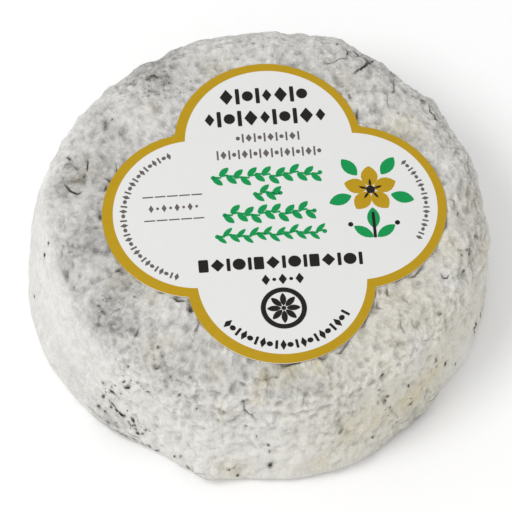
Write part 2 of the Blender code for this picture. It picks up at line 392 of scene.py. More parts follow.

# %% [markdown]
# ## Cracks and creases
# A ripening rind also has marks that are its own: a few dark cracks at the shoulder, a forked crease at the
# front, a blister at the left. Each is a line through a few given places on the cheese, in millimetres, and
# the rind is pressed in along it. A crack is narrow and shows the dark ash below, a crease is a wider fold.
# Some of the lines lie along the label's edge and are gaps under the paper: the rind is pressed in there, and
# their dark colour is painted shadow.

# %% Places of the cracks
CRACKS_AND_LABEL_GAPS = (                # half width, depth, darkness and places, in mm
    (0.28, 0.40, 1, ((20.3, 29.7, 26.3), (21.5, 30.8, 25.8), (22.4, 31.5, 25.7), (23.0, 32.3, 25.5),
        (24.0, 33.3, 25.2))),
    (0.17, 0.20, 0.85, ((24.0, 33.3, 25.2), (23.2, 34.1, 25.0), (22.1, 34.3, 25.5),
        (21.4, 35.3, 25.2), (21.2, 36.0, 24.7))),
    (0.16, 0.20, 0.9, ((19.8, 36.0, 25.4), (19.8, 35.1, 25.7), (19.3, 34.4, 26.1))),
    (0.13, 0.20, 0.6, ((19.4, 34.4, 26.1), (19.3, 33.4, 26.2), (17.5, 33.2, 26.3), (16.1, 32.6, 26.3),
        (14.8, 32.1, 26.3))),
    (0.17, 0.20, 0.6, ((28.4, 29.7, 24.6), (28.1, 27.1, 25.6), (27.7, 25.3, 26.1))),
    (0.14, 0.20, 0.4, ((26.5, 25.4, 26.3), (26.2, 22.5, 26.3), (26.5, 21.4, 26.2))),
    (0.20, 0.50, 0.7, ((20.3, 21.5, 26.4), (19.9, 19.2, 26.5))),
    (0.17, 0.20, 0.8, ((34.3, 22.5, 25.1), (34.6, 21.0, 25.3), (35.2, 19.4, 25.3), (36.0, 17.8, 25.3))),
    (0.13, 0.15, 0.5, ((36.4, 17.8, 24.9), (37.2, 16.7, 24.3), (37.9, 15.0, 24.5), (38.7, 14.4, 24.4))),
    (0.14, 0.15, 0.6, ((39.5, 12.9, 24.6), (40.6, 10.8, 24.1), (41.0, 8.4, 24.5), (41.3, 6.1, 24.5))),
    (0.14, 0.15, 0.5, ((36.3, 0.8, 26.2), (37.0, 0.4, 26.1), (37.1, -0.7, 26.1))),
    (0.16, 0.20, 0.8, ((33.0, -15.8, 26.4), (33.4, -16.4, 26.3), (34.2, -16.4, 26.2), (34.5, -16.0, 26.2))),
    (0.17, 0.35, 0.95, ((-37.6, 9.1, 25.6), (-36.8, 8.0, 25.8), (-36.0, 6.9, 25.9),
        (-35.0, 6.5, 26.1), (-34.3, 6.7, 26.2))),
    (0.13, 0.30, 0.95, ((-32.5, 13.8, 26.1), (-32.6, 12.5, 26.1), (-32.9, 10.9, 26.2))),
    (0.30, 0.40, 0.85, ((-33.4, 10.4, 26.2), (-33.2, 9.5, 26.2), (-33.4, 8.9, 26.2))),
    (0.40, 0.30, 0.35, ((-37.5, 9.5, 25.6), (-36.6, 9.0, 25.9), (-35.4, 9.0, 26.0),
        (-34.3, 9.3, 26.1), (-33.3, 9.4, 26.2))),
    (0.18, 0.20, 0.45, ((-37.4, 12.6, 25.3), (-37.0, 13.4, 25.4), (-36.4, 13.7, 25.6),
        (-35.7, 13.4, 25.8))),
    (0.16, 0.20, 0.5, ((-35.2, 12.6, 26.0), (-34.5, 11.6, 26.1))),
    (0.18, 0.30, 0.7, ((-29.4, 9.4, 26.3), (-28.4, 8.6, 26.4))),
    (0.24, 0.50, 0.8, ((-29.3, 7.9, 26.3), (-29.7, 6.8, 26.3))),
    (0.26, 0.70, 0.8, ((-31.0, 1.7, 26.3), (-31.1, 0.4, 26.3))),
    (0.26, 0.70, 0.8, ((-28.0, -10.6, 26.3), (-28.8, -11.2, 26.2))),
    (0.10, 0.15, 0.6, ((-27.2, 12.5, 26.3), (-27.2, 10.2, 26.4))),
    (0.16, 0.50, 0.8, ((1.2, -33.4, 26.2), (2.7, -33.2, 26.2), (4.4, -33.0, 26.2))),
    (0.20, 0.60, 0.6, ((7.9, -32.0, 26.2), (8.6, -32.4, 26.2), (9.6, -32.1, 26.2))),
    (0.18, 0.60, 0.65, ((11.5, -31.6, 26.2), (12.3, -31.3, 26.2), (13.1, -30.4, 26.2),
        (14.0, -29.2, 26.3))),
    (0.22, 0.60, 0.8, ((-18.5, -17.8, 26.5), (-16.3, -18.5, 26.5))),
    (0.34, 0.80, 0.9, ((-15.2, -19.5, 26.5), (-15.3, -21.0, 26.5))),
    (0.20, 0.40, 0.6, ((-14.8, -25.3, 26.5), (-13.9, -23.4, 26.4))),
    (0.20, 0.50, 0.5, ((20.9, -18.3, 26.5), (20.9, -19.5, 26.3))),
    (0.18, 0.50, 0.55, ((20.3, -20.8, 26.3), (20.1, -22.1, 26.3), (20.9, -22.5, 26.2))),
    (0.18, 0.50, 0.6, ((22.2, -18.2, 26.4), (22.5, -19.6, 26.2))),
    (0.20, 0.60, 0.65, ((26.8, -16.0, 26.4), (27.8, -15.8, 26.4), (28.8, -14.8, 26.3),
        (29.7, -13.8, 26.3))),
    (0.26, 0.35, 0.55, ((-7.3, -36.4, 26.1), (-6.2, -37.1, 25.9))),
    (0.20, 0.25, 0.3, ((-4.3, -35.8, 26.0), (-3.0, -36.2, 26.0), (-1.7, -36.0, 25.9),
        (-0.9, -35.6, 25.9), (-0.1, -35.7, 25.9))),
    (0.28, 0.40, 0.85, ((-6.8, -39.5, 24.4), (-6.7, -40.2, 23.8))),
    (0.17, 0.35, 0.6, ((-6.7, -40.2, 23.8), (-6.5, -40.9, 22.5), (-5.5, -41.2, 21.5), (-4.5, -41.6, 20.4))),
    (0.22, 0.35, 0.6, ((-26.4, -25.4, 25.9), (-25.9, -24.6, 26.1), (-25.6, -23.8, 26.1))),
    (0.20, 0.15, 0.95, ((-30.4, -32.9, 2.8), (-29.2, -33.8, 2.9), (-28.1, -34.4, 2.7))),
    (0.13, 0.12, 0.5, ((-35.6, -27.5, 3.4), (-34.2, -29.2, 3.6), (-32.1, -31.4, 3.4))),
    (0.13, 0.12, 0.6, ((-28.1, -34.2, 4.4), (-26.8, -35.0, 3.8), (-25.3, -35.8, 3.6))),
    (0.15, 0.15, 0.85, ((-15.9, -42.8, 1.8), (-14.6, -43.5, 2.3), (-12.8, -44.2, 2.9))),
    (0.13, 0.12, 0.4, ((-16.8, -42.0, 2.3), (-15.2, -43.0, 3.5), (-13.5, -43.7, 4.1))),
    (0.18, 0.10, 0.6, ((32.5, -28.5, 2.9), (31.4, -30.1, 2.8), (30.0, -32.0, 3.2))),
    (0.16, 0.10, 0.35, ((26.6, -35.0, 3.7), (24.5, -36.6, 4.4))),
    (0.13, 0.20, 0.5, ((25.1, -20.2, 26.2), (26.2, -21.9, 26.5))),
    (0.14, 0.25, 0.4, ((24.2, -25.1, 26.2), (24.3, -26.3, 26.1), (25.0, -27.7, 25.8))),
    (0.13, 0.20, 0.35, ((26.5, -24.8, 26.2), (26.4, -26.1, 25.8), (27.2, -26.7, 25.5),
        (27.8, -25.6, 25.6))),
)
print("cracks:", len(CRACKS_AND_LABEL_GAPS))

# %% Places of the creases
CREASES = (               # width, depth and places, all in mm
    (0.7, 0.25, ((-34.3, 11.4, 26.1), (-35.2, 12.5, 26.0), (-36.1, 13.6, 25.7))),
    (0.7, 0.20, ((-39.4, -4.5, 24.2), (-37.9, -4.5, 25.2), (-35.8, -5.2, 25.9), (-34.5, -5.5, 26.1))),
    (0.6, 0.20, ((-34.5, -5.5, 26.1), (-32.8, -6.0, 26.1), (-30.6, -7.1, 26.3))),
    (0.5, 0.20, ((-39.1, -8.8, 23.6), (-38.5, -10.7, 23.9), (-38.2, -12.0, 23.7))),
    (0.5, 0.20, ((-37.4, -12.5, 24.3), (-36.8, -13.8, 24.5), (-36.3, -14.6, 24.8))),
    (0.6, 0.25, ((-0.6, -41.6, 21.3), (1.6, -41.7, 21.2), (3.7, -41.8, 21.1))),
    (0.6, 0.30, ((9.9, -35.7, 26.0), (10.8, -33.2, 26.1))),
    (0.6, 0.20, ((5.6, -42.8, 13.5), (8.6, -42.4, 14.7), (11.0, -41.8, 13.8))),
    (0.9, 0.30, ((11.4, -41.2, 15.4), (11.7, -40.8, 17.1), (13.2, -40.3, 18.3), (15.2, -39.6, 17.6))),
    (0.6, 0.30, ((-6.7, -40.7, 23.0), (-7.7, -41.1, 20.8), (-9.2, -41.2, 18.8))),
    (0.6, 0.25, ((-15.4, -37.0, 23.2), (-15.5, -38.1, 19.6))),
    (0.6, 0.20, ((-19.2, -37.3, 15.2), (-16.5, -38.4, 16.8), (-13.8, -39.5, 17.8), (-11.5, -40.6, 18.4))),
    (0.7, 0.25, ((-11.8, -39.6, 21.3), (-9.2, -40.7, 21.3))),
    (0.6, 0.20, ((-13.0, -36.6, 24.6), (-10.6, -37.9, 24.9))),
    (0.6, 0.30, ((26.2, -21.9, 26.5), (27.9, -21.9, 26.6))),
    (0.9, 0.30, ((22.9, -29.5, 25.8), (25.2, -29.3, 25.5))),
    (0.8, 0.30, ((-19.5, 25.5, 26.5), (-18.6, 24.1, 26.4), (-19.1, 22.9, 26.3))),
    (0.5, 0.30, ((-28.5, 22.9, 25.8), (-28.7, 19.9, 26.0))),
    (0.6, 0.25, ((-24.7, 30.6, 25.2), (-22.8, 30.9, 25.8), (-21.6, 29.6, 26.1))),
    (0.7, 0.25, ((-30.2, 23.6, 25.5), (-28.4, 25.4, 25.7), (-26.6, 27.0, 25.8))),
    (1.0, 0.25, ((-25.3, 20.3, 26.1), (-24.7, 17.4, 26.3))),
    (0.9, 0.30, ((6.3, -37.6, 25.6), (8.2, -37.8, 25.4), (7.9, -39.1, 24.2))),
    (0.8, 0.30, ((1.0, -37.8, 25.4), (1.1, -40.1, 24.2))),
    (0.8, 0.30, ((5.0, -37.9, 25.5), (5.3, -39.0, 24.8), (4.7, -40.0, 24.3))),
    (0.6, 0.20, ((-9.1, -37.4, 25.5), (-8.4, -38.7, 24.7))),
    (0.8, 0.25, ((33.5, 9.9, 26.1), (33.9, 8.0, 26.2), (34.9, 6.6, 26.2), (35.8, 3.9, 26.2))),
    (0.6, 0.25, ((15.9, 30.9, 26.5), (17.0, 28.4, 26.5), (18.4, 26.5, 26.5), (19.0, 24.9, 26.5))),
    (0.7, 0.25, ((23.8, 22.4, 26.4), (24.5, 19.2, 26.4), (23.8, 17.4, 26.5))),
    (0.8, 0.20, ((37.8, 8.2, 26.0), (38.7, 4.7, 26.1), (39.2, 1.5, 25.7))),
    (0.7, 0.25, ((-21.0, -34.1, 23.6), (-20.5, -35.7, 21.3))),
    (0.7, 0.25, ((-10.0, 30.8, 26.0), (-10.5, 29.3, 26.3))),
    (0.6, 0.15, ((-31.4, -31.9, 3.9), (-30.3, -32.8, 4.1), (-29.0, -33.7, 4.1))),
)
BLISTER = (0.35, 2.2, (-35.4, 9.6, 26.0))       # height, reach and place in mm
print("creases:", len(CREASES))

# %% [markdown]
# For each line the next cell works out how far every point is from it. A crack also needs to know its two
# sides: the stored offset runs from under 0 on one side to over 0 on the other, so between two points of
# the mesh it crosses 0 exactly in the crack's middle, and the material can draw the crack finer than the
# mesh is.

# %% Press the lines in
normals = read(rind.data, "normal")
wander = 0.12 * clouds(0.9, 8, 2)                # mm that a line strays, so that none is ruled


def to_line(places):
    """Each point's distance in mm to a line through places, its share along it, and its side, 1 or -1."""
    nearest = np.full(len(points), np.inf)
    along = np.zeros(len(points))
    side = np.ones(len(points))
    stops = [np.array(place) for place in places]
    for index, (start, end) in enumerate(zip(stops, stops[1:])):
        step = end - start
        share = np.clip((points - start) @ step / max(step @ step, 1e-9), 0, 1)
        apart = points - start - share[:, None] * step
        away = np.linalg.norm(apart, axis=1)
        closer = away < nearest
        nearest[closer] = away[closer]
        along[closer] = (index + share[closer]) / (len(stops) - 1)
        side[closer] = np.sign((apart * np.cross(step, normals)).sum(axis=1))[closer]
    return nearest, along, side


def tapered(along):
    """1 in the middle of a line, falling towards both its ends."""
    return 1 - 0.6 * np.abs(2 * along - 1) ** 3


pressed = np.zeros(len(points))
crack_offset = np.full(len(points), 9.0)         # in half widths of the crack, far away at first
# The darkness of a line is the bare ash of a crack, and in a gap under the label's edge it is painted shadow.
crack_dark_and_gap_shadow = np.zeros(len(points))
for half_width, depth, dark, places in CRACKS_AND_LABEL_GAPS:
    away, along, side = to_line(places)
    pressed -= depth * tapered(along) * np.exp(-((away / (1.6 * half_width + 0.1)) ** 2))
    near = away < np.minimum(3 * spacing, np.abs(crack_offset) * half_width + spacing)
    crack_offset = np.where(near, (away * side + wander) / half_width, crack_offset)
    shown = dark * tapered(along) * (1 - smoothstep(spacing, 2.4 * spacing, away))
    crack_dark_and_gap_shadow = np.where(near, shown, crack_dark_and_gap_shadow)
crease_shade = np.zeros(len(points))
for width, depth, places in CREASES:
    away, along, _ = to_line(places)
    dip = tapered(along) * np.exp(-(((away + 2 * wander) / width) ** 2))
    pressed -= depth * dip
    crease_shade = np.maximum(crease_shade, dip)
pressed += patches([BLISTER])
print("cracks and creases press in by up to", round(-pressed.min(), 2), "mm")

# %% [markdown]
# ## Marks of bare ash
# All over the rind there are small marks where the charcoal shows: dots, short strokes and soft smudges,
# thickest low at the left. Each is a row of its width, its darkness, and its place or both its ends. A dot on
# the wall is drawn out a little downwards, as the skin there is. Each mark stains the rind softly, and
# further down the darker ones also get crumbs of ash, in a row along their length.

# %% Places of the marks
MARKS = (               # width, darkness, and place or both ends, in mm
    (0.8, 1, (-31.0, -29.6, 12.8), (-30.3, -30.4, 12.8)),
    (0.6, 0.9, (-28.6, -31.0, 16.4), (-27.7, -31.5, 17.3)),
    (0.5, 0.9, (-31.0, -30.6, 9.6), (-30.2, -31.5, 9.4)),
    (0.7, 0.85, (-30.1, -31.7, 9.1), (-29.6, -32.1, 9.0)),
    (0.8, 1, (-29.5, -32.3, 8.9), (-28.8, -33.0, 8.2)),
    (0.7, 1, (-27.1, -33.9, 9.3), (-26.9, -34.3, 8.4)),
    (0.6, 0.75, (-26.6, -34.6, 7.8)),
    (0.4, 0.6, (-26.8, -34.6, 6.9), (-26.4, -35.0, 6.2)),
    (0.5, 0.6, (-27.9, -33.8, 7.5), (-27.5, -34.3, 6.3)),
    (0.7, 0.85, (-26.1, -35.2, 5.5)),
    (0.4, 0.7, (-25.3, -35.5, 5.8), (-25.0, -35.6, 6.4)),
    (0.6, 0.55, (-24.6, -35.7, 7.7)),
    (0.6, 0.4, (-26.5, -34.2, 10.6)),
    (0.6, 0.4, (-26.0, -34.8, 9.0)),
    (0.4, 0.7, (-28.8, -30.5, 17.3), (-28.5, -30.5, 18.1)),
    (0.5, 0.7, (-26.3, -32.0, 20.0), (-25.9, -32.2, 20.8)),
    (0.8, 0.6, (-32.2, -28.1, 13.7)),
    (0.5, 0.5, (-30.9, -29.5, 14.1)),
    (1.0, 0.55, (-32.4, -29.2, 10.0)),
    (1.0, 0.65, (-33.0, -29.6, 6.7)),
    (0.7, 0.65, (-31.1, -30.9, 8.7)),
    (0.7, 0.45, (-32.2, -30.4, 6.5), (-31.9, -30.9, 6.2)),
    (0.5, 0.45, (-24.7, -33.5, 18.7), (-24.1, -33.9, 18.9)),
    (0.9, 0.35, (-23.2, -34.0, 21.6), (-22.5, -34.6, 21.1)),
    (0.8, 0.4, (-22.6, -36.6, 10.2)),
    (1.0, 0.4, (-18.8, -38.8, 8.6), (-18.8, -38.8, 7.9)),
    (0.6, 0.55, (-18.6, -36.4, 22.6)),
    (0.5, 1, (-28.3, -34.3, 2.8)),
    (0.6, 0.6, (-22.9, -37.2, 2.0), (-22.4, -37.5, 2.1)),
    (0.6, 0.6, (-19.2, -39.8, 3.9)),
    (0.6, 0.6, (-18.1, -40.0, 4.3)),
    (0.5, 0.6, (-22.8, -30.1, 25.3)),
    (0.5, 0.6, (-21.5, -29.8, 25.6)),
    (0.8, 0.45, (-22.0, -27.8, 26.0)),
    (0.5, 0.7, (-23.0, -31.6, 24.5), (-22.0, -31.6, 24.9)),
    (0.5, 0.7, (-20.1, -33.6, 24.4)),
    (0.5, 0.65, (-16.5, -34.5, 25.4)),
    (0.9, 0.45, (-28.0, -29.6, 22.4)),
    (0.9, 0.35, (-29.5, -28.8, 20.9)),
    (0.4, 0.6, (-32.9, -18.2, 25.8), (-32.4, -18.3, 26.0)),
    (0.5, 0.5, (-25.7, -17.1, 26.5)),
    (0.6, 0.5, (-32.1, -19.4, 25.8), (-31.4, -20.2, 25.9)),
    (0.6, 0.5, (-32.5, -20.4, 25.4)),
    (0.8, 0.5, (-33.3, -21.6, 24.2), (-32.6, -21.7, 24.7)),
    (0.6, 0.4, (-30.9, -22.1, 25.5), (-30.0, -22.3, 25.8)),
    (0.8, 0.4, (-27.9, -23.8, 26.0)),
    (0.8, 0.25, (-20.8, -33.1, 24.5), (-21.2, -33.9, 23.7)),
    (0.5, 0.8, (-29.4, -33.6, 3.1), (-29.0, -33.9, 2.9)),
    (0.5, 0.8, (-26.9, -35.0, 2.5), (-26.5, -35.2, 2.4)),
    (0.5, 0.7, (-25.3, -35.8, 2.4), (-25.0, -36.0, 2.3)),
    (0.5, 0.6, (-31.9, -31.5, 3.4), (-31.5, -31.8, 3.3)),
    (0.4, 0.5, (-30.5, -32.6, 4.7), (-29.7, -33.1, 4.4)),
    (0.5, 0.5, (-24.0, -36.5, 2.4), (-23.6, -36.7, 2.3)),
    (0.5, 0.8, (-37.4, -6.0, 25.3), (-36.9, -6.1, 25.5)),
    (0.8, 1, (-41.8, -2.8, 19.2)),
    (0.8, 0.6, (-41.2, -1.8, 22.0)),
    (0.6, 0.5, (-43.0, 10.5, 11.1), (-43.1, 10.1, 11.2)),
    (0.6, 0.5, (-36.4, 14.8, 25.5), (-35.6, 14.3, 25.7)),
    (1.1, 0.4, (-38.5, 8.3, 25.2), (-38.0, 8.3, 25.5)),
    (0.8, 0.25, (-38.9, 7.7, 25.0), (-38.5, 6.4, 25.4)),
    (0.5, 0.4, (-37.0, 5.0, 26.0), (-36.6, 4.1, 26.0)),
    (0.7, 0.35, (-36.2, 8.9, 25.9), (-33.7, 8.8, 26.2)),
    (0.7, 0.7, (-44.0, -5.0, 7.2)),
    (0.6, 0.25, (-38.7, -9.4, 23.8), (-38.2, -11.4, 23.9)),
    (0.5, 0.3, (-37.1, -13.1, 24.5), (-36.4, -14.1, 24.7)),
    (0.5, 0.8, (-6.2, -41.6, 17.9)),
    (0.5, 0.5, (-4.3, -42.3, 15.2)),
    (0.5, 0.9, (-1.9, -43.0, 12.4)),
    (0.5, 0.75, (-1.6, -43.5, 10.6)),
    (1.0, 1, (-1.5, -44.3, 6.6), (-1.5, -44.4, 5.5)),
    (0.6, 0.3, (-14.0, -38.2, 21.8)),
    (0.7, 0.35, (-12.3, -39.0, 22.2)),
    (0.5, 0.5, (-15.4, -38.1, 20.1)),
    (0.6, 0.4, (-11.8, -40.4, 18.6), (-11.4, -40.6, 18.4)),
    (0.5, 0.35, (-11.4, -40.1, 20.9), (-10.0, -40.5, 21.5)),
    (0.5, 0.7, (-0.2, -35.7, 25.9)),
    (0.6, 0.35, (-2.1, -42.0, 19.9)),
    (0.5, 0.35, (-1.2, -42.0, 20.2)),
    (0.6, 0.35, (2.2, -41.5, 21.6), (3.5, -41.8, 21.1)),
    (0.6, 0.75, (-9.4, -43.9, 5.6)),
    (0.5, 0.65, (-8.3, -43.9, 5.8)),
    (0.7, 0.5, (-7.7, -44.4, 3.1), (-7.3, -44.5, 2.6)),
    (0.5, 0.6, (-17.0, -41.6, 2.9), (-17.0, -41.9, 2.3)),
    (0.7, 0.15, (-8.4, -38.4, 24.9)),
    (0.8, 0.3, (7.8, -37.5, 25.6), (8.4, -38.1, 25.2)),
    (0.6, 0.25, (1.0, -38.1, 25.3), (1.1, -39.9, 24.6)),
    (0.6, 0.25, (5.3, -38.2, 25.3), (5.1, -39.4, 24.7)),
    (0.7, 0.75, (11.8, -41.7, 13.6), (12.3, -41.5, 13.8)),
    (0.8, 0.35, (11.5, -41.2, 15.4), (11.9, -40.8, 17.3)),
    (0.7, 0.6, (18.6, -40.1, 7.9)),
    (0.7, 0.4, (18.8, -39.7, 8.9), (19.2, -39.5, 9.3)),
    (0.6, 0.4, (13.4, -40.2, 18.6)),
    (0.8, 0.75, (20.5, -37.2, 16.4)),
    (0.6, 0.6, (19.3, -37.9, 17.5)),
    (0.7, 0.8, (21.2, -36.4, 17.3)),
    (0.5, 0.5, (19.4, -37.0, 21.4)),
    (0.6, 0.55, (21.7, -37.3, 14.0)),
    (0.4, 0.4, (22.3, -37.2, 12.2), (23.5, -36.9, 9.0)),
    (0.8, 0.5, (23.7, -37.0, 6.8)),
    (0.9, 0.35, (22.5, -37.5, 9.0)),
    (1.2, 0.5, (26.4, -34.5, 9.9), (26.5, -34.5, 9.1)),
    (0.5, 0.75, (19.5, -35.8, 23.6), (20.2, -35.3, 23.7)),
    (0.9, 0.6, (25.6, -33.8, 16.3)),
    (0.6, 0.4, (24.9, -34.7, 14.1), (25.2, -34.2, 15.1)),
    (0.9, 0.4, (28.2, -32.3, 14.0)),
    (0.9, 0.3, (28.2, -31.6, 18.4)),
    (0.7, 0.7, (30.7, -29.7, 16.6), (30.9, -29.6, 17.9)),
    (0.9, 0.85, (33.5, -26.9, 10.7), (33.9, -26.4, 10.2)),
    (0.5, 0.6, (36.0, -24.3, 5.3), (36.0, -24.0, 6.1)),
    (0.7, 0.5, (31.8, -28.7, 13.3)),
    (1.0, 0.35, (29.4, -32.0, 7.3), (29.8, -31.3, 8.8)),
    (0.8, 0.75, (31.9, -23.8, 25.3)),
    (0.7, 0.35, (34.4, -23.1, 23.8)),
    (0.5, 0.3, (32.7, -25.4, 23.9), (33.6, -24.5, 23.7)),
    (0.5, 0.4, (23.4, -29.8, 25.6), (24.0, -29.6, 25.5)),
    (0.6, 0.4, (22.7, -31.9, 25.2)),
    (0.5, 0.35, (27.0, -29.0, 25.2), (26.3, -30.3, 24.8)),
    (0.6, 1, (41.6, -14.8, 6.4), (41.7, -14.3, 7.6)),
    (0.6, 0.6, (40.5, -17.0, 4.1), (40.7, -16.4, 7.5)),
    (0.6, 0.4, (37.3, -11.0, 25.9), (37.3, -12.4, 25.8)),
    (0.5, 0.75, (37.3, -11.7, 25.8)),
    (0.4, 0.75, (38.2, -10.5, 25.8), (39.0, -10.3, 25.6)),
    (0.5, 0.6, (39.0, -10.8, 25.5), (38.6, -11.8, 25.5)),
    (0.6, 0.35, (38.8, -12.7, 24.9), (39.3, -13.7, 23.6)),
    (0.8, 0.6, (37.4, -14.7, 24.8)),
    (0.6, 0.35, (39.5, -7.5, 25.8), (39.7, -9.5, 25.4)),
    (0.5, 0.5, (40.5, -7.1, 25.2), (41.1, -7.1, 24.8)),
    (0.9, 0.35, (41.3, -10.0, 23.8)),
    (0.5, 0.45, (37.6, -2.0, 25.9), (37.6, -3.1, 25.9)),
    (0.6, 0.4, (38.5, -3.7, 25.7)),
    (1.4, 0.25, (40.0, 1.2, 25.4), (41.2, 1.0, 24.9)),
    (0.5, 0.35, (33.0, -17.3, 26.2)),
    (1.2, 0.15, (34.3, -17.6, 25.9), (34.2, -18.3, 25.9)),
    (1.4, 0.15, (36.1, -18.9, 24.7), (37.0, -15.9, 24.7)),
    (0.5, 0.7, (21.7, 34.5, 25.5)),
    (0.6, 0.9, (24.1, 33.3, 25.2)),
    (0.4, 0.8, (18.9, 24.9, 26.5), (19.1, 24.2, 26.4)),
    (0.4, 0.8, (28.0, 31.8, 23.4), (28.2, 31.2, 23.7)),
    (0.5, 0.7, (28.6, 30.7, 23.6)),
    (1.1, 0.35, (26.4, 29.1, 25.8)),
    (0.5, 0.6, (27.7, 25.3, 26.1)),
    (0.4, 0.4, (24.7, 21.3, 26.3), (25.0, 19.9, 26.3)),
    (0.9, 0.4, (31.4, 24.3, 25.5)),
    (0.6, 0.6, (14.9, 32.4, 26.2), (15.3, 32.4, 26.2)),
    (0.5, 0.4, (17.0, 34.0, 26.2)),
    (0.4, 0.45, (28.2, 20.3, 26.3)),
    (0.6, 0.45, (32.5, 23.8, 25.5), (33.6, 23.0, 25.4)),
    (0.5, 0.7, (1.5, 38.1, 26.0)),
    (0.5, 0.5, (-1.9, 34.4, 26.3)),
    (0.5, 0.4, (-3.4, 34.3, 26.4)),
    (0.5, 0.4, (-5.8, 37.5, 26.1)),
    (0.5, 0.5, (17.8, 37.1, 25.4)),
    (0.9, 0.35, (14.3, 38.9, 25.2), (15.5, 38.7, 25.0)),
    (0.7, 0.55, (-19.9, 31.0, 26.2), (-18.7, 31.8, 26.0)),
    (0.8, 0.5, (-18.7, 31.8, 26.0), (-17.5, 31.1, 26.2)),
    (0.5, 0.8, (-19.7, 31.1, 26.2)),
    (0.5, 0.75, (-17.9, 31.4, 26.1)),
    (0.5, 0.6, (-15.5, 30.1, 26.2)),
    (0.6, 0.65, (-19.8, 27.2, 26.2)),
    (0.5, 0.6, (-19.5, 28.4, 26.1)),
    (0.4, 0.55, (-28.5, 22.4, 25.7), (-28.7, 20.1, 26.0)),
    (0.5, 0.5, (-27.2, 22.6, 25.8)),
    (0.5, 0.7, (-15.8, 17.8, 26.6)),
)
print("marks:", len(MARKS))

# %% Stain the marks
WALL_TOP = 23.0                 # mm, the level up to which the wall is steep
DOT_DROP = 0.3                  # mm that a dot on the wall is drawn out downwards


def both_ends(places):
    """The two ends of a mark that is given by one place or two."""
    start = np.array(places[0])
    drawn_out = start - (0, 0, DOT_DROP if start[2] < WALL_TOP else 0)
    return start, np.array(places[1]) if len(places) > 1 else drawn_out


stain = np.zeros(len(points))
for width, dark, *places in MARKS:
    away, _, _ = to_line(both_ends(places))
    soft = 0.18 + 0.22 * width
    stain = np.maximum(stain, dark * np.exp(-((np.clip(away - 0.15 * width, 0, None) / soft) ** 2)))
print("stained share of the rind:", round(float((stain > 0.2).mean()), 3))

# %% [markdown]
# ## Raising the relief
# The patterns are added up, each as high as it is in that place: fine folds where the rind is wrinkled,
# broad ones where the fine ones fade, domes in clumps, and on the white left side next to nothing. The
# whole is held down where the label lies on it and on the flat sole. The folds run on a little way under
# the label's edge, which is why small gaps open there; their dark is painted shadow, drawn with the cracks.

# %% Add up the relief
SINKING = 0.1                   # mm that the relief is sunk, so that its middle lies on the solid
LABEL_BED = 0.18                # mm that the relief may rise beside the label
fading = 0.5 + 0.5 * smoothstep(-0.3, 0.3, clouds(5, 7))
broken = 0.35 + 0.65 * smoothstep(-0.35, 0.25, clouds(6, 23))
calm = 1 - 0.85 * white_side
rough = 1.0 + (0.4 * around(60, 110) - 0.25 * around(350, 45)) * on_top
raised = (                      # height in mm, where, and pattern
    (0.12 + 0.04 * wrinkled, calm * fading * rough * (0.5 + 0.5 * upper), fine_folds),
    (0.20 + 0.05 * wrinkled, calm * (1.4 - 0.8 * fading) * (0.8 + 0.2 * upper), broad_folds),
    (0.22 + 0.06 * on_side, calm * rough * broken, cobbles - 0.5 - 0.25 * gaps),
    (0.05 + 0.05 * granular, calm * rough * (1.4 - broken), grit),
    (0.22, 1 - 0.4 * white_side, lumps),
    (0.45, on_side * (1 - 0.7 * white_side), slumps),
    (0.05, white_side, streaks),
)
relief = sum(height * where * pattern for height, where, pattern in raised) - SINKING
relief *= 1 - 0.5 * around(100, 90) * (1 - smoothstep(24.5, 26, level))       # the back is smoother
relief = np.minimum(relief, LABEL_BED + 0.5 * smoothstep(0, 2, label_gap))
relief = (relief + pressed) * off_sole * (1 - under_label)
hollow = blur(relief, 0.8) - relief             # how far a point lies below its near surroundings
valley = blur(relief, 2.2) - relief             # and below its wider ones
print("relief from", round(relief.min(), 2), "to", round(relief.max(), 2), "mm")

# %% [markdown]
# The outline also sinks in and swells at a few places, where the soft cheese was handled. The Displace
# modifier lifts each point along its normal by its weight in a vertex group, so the heights are written
# there first. A weight can't be under 0, which is why what rises and what sinks are done one after the
# other.

# %% Places where the outline sinks in or swells
DENTS = (                       # height, size and place in mm, where the outline sinks in or swells
    (-0.75, 4.0, (43.3, 3.8, 21)),
    (-0.75, 5.0, (44.3, -6.2, 7)),
    (-1.00, 4.0, (21.8, -39.4, 3)),
    (-0.45, 7.0, (4.5, 42.8, 23.5)),
    (0.60, 2.5, (6.4, 41.5, 23.0)),
    (-0.35, 2.5, (-1.1, 42.5, 22.5)),
    (0.60, 2.5, (-8.7, 40.5, 23.2)),
    (-0.60, 3.0, (43.1, -12.9, 2.8)),
    (-0.50, 4.0, (30.5, 29.5, 24)),
    (-0.40, 4.0, (-13.0, 40.0, 24)),
    (-0.60, 4.0, (25.5, -36.5, 2)),
    (-0.45, 4.0, (24.3, 34.7, 24)),
    (0.50, 4.0, (-42.3, -15.4, 1.4)),
    (0.85, 4.5, (-13.8, -43.0, 2.3)),
)
print("dents and swells:", len(DENTS))


# %% Raise the relief
def displace(piece, heights):
    """Raises or presses in each point along its normal by its own height in mm."""
    for way in (1, -1):
        part = np.clip(way * heights, 0, None)
        most = part.max()
        group = piece.vertex_groups.new(name="relief")
        for index in np.flatnonzero(part):
            group.add([int(index)], float(part[index] / most), "REPLACE")
        modify(piece, "DISPLACE", vertex_group="relief", strength=way * most * MM, mid_level=0)
        piece.vertex_groups.clear()


displace(rind, relief + patches(DENTS) * off_sole)
rind.data.shade_smooth()
print("rind after the relief:", [round(size / MM, 1) for size in rind.dimensions], "mm")
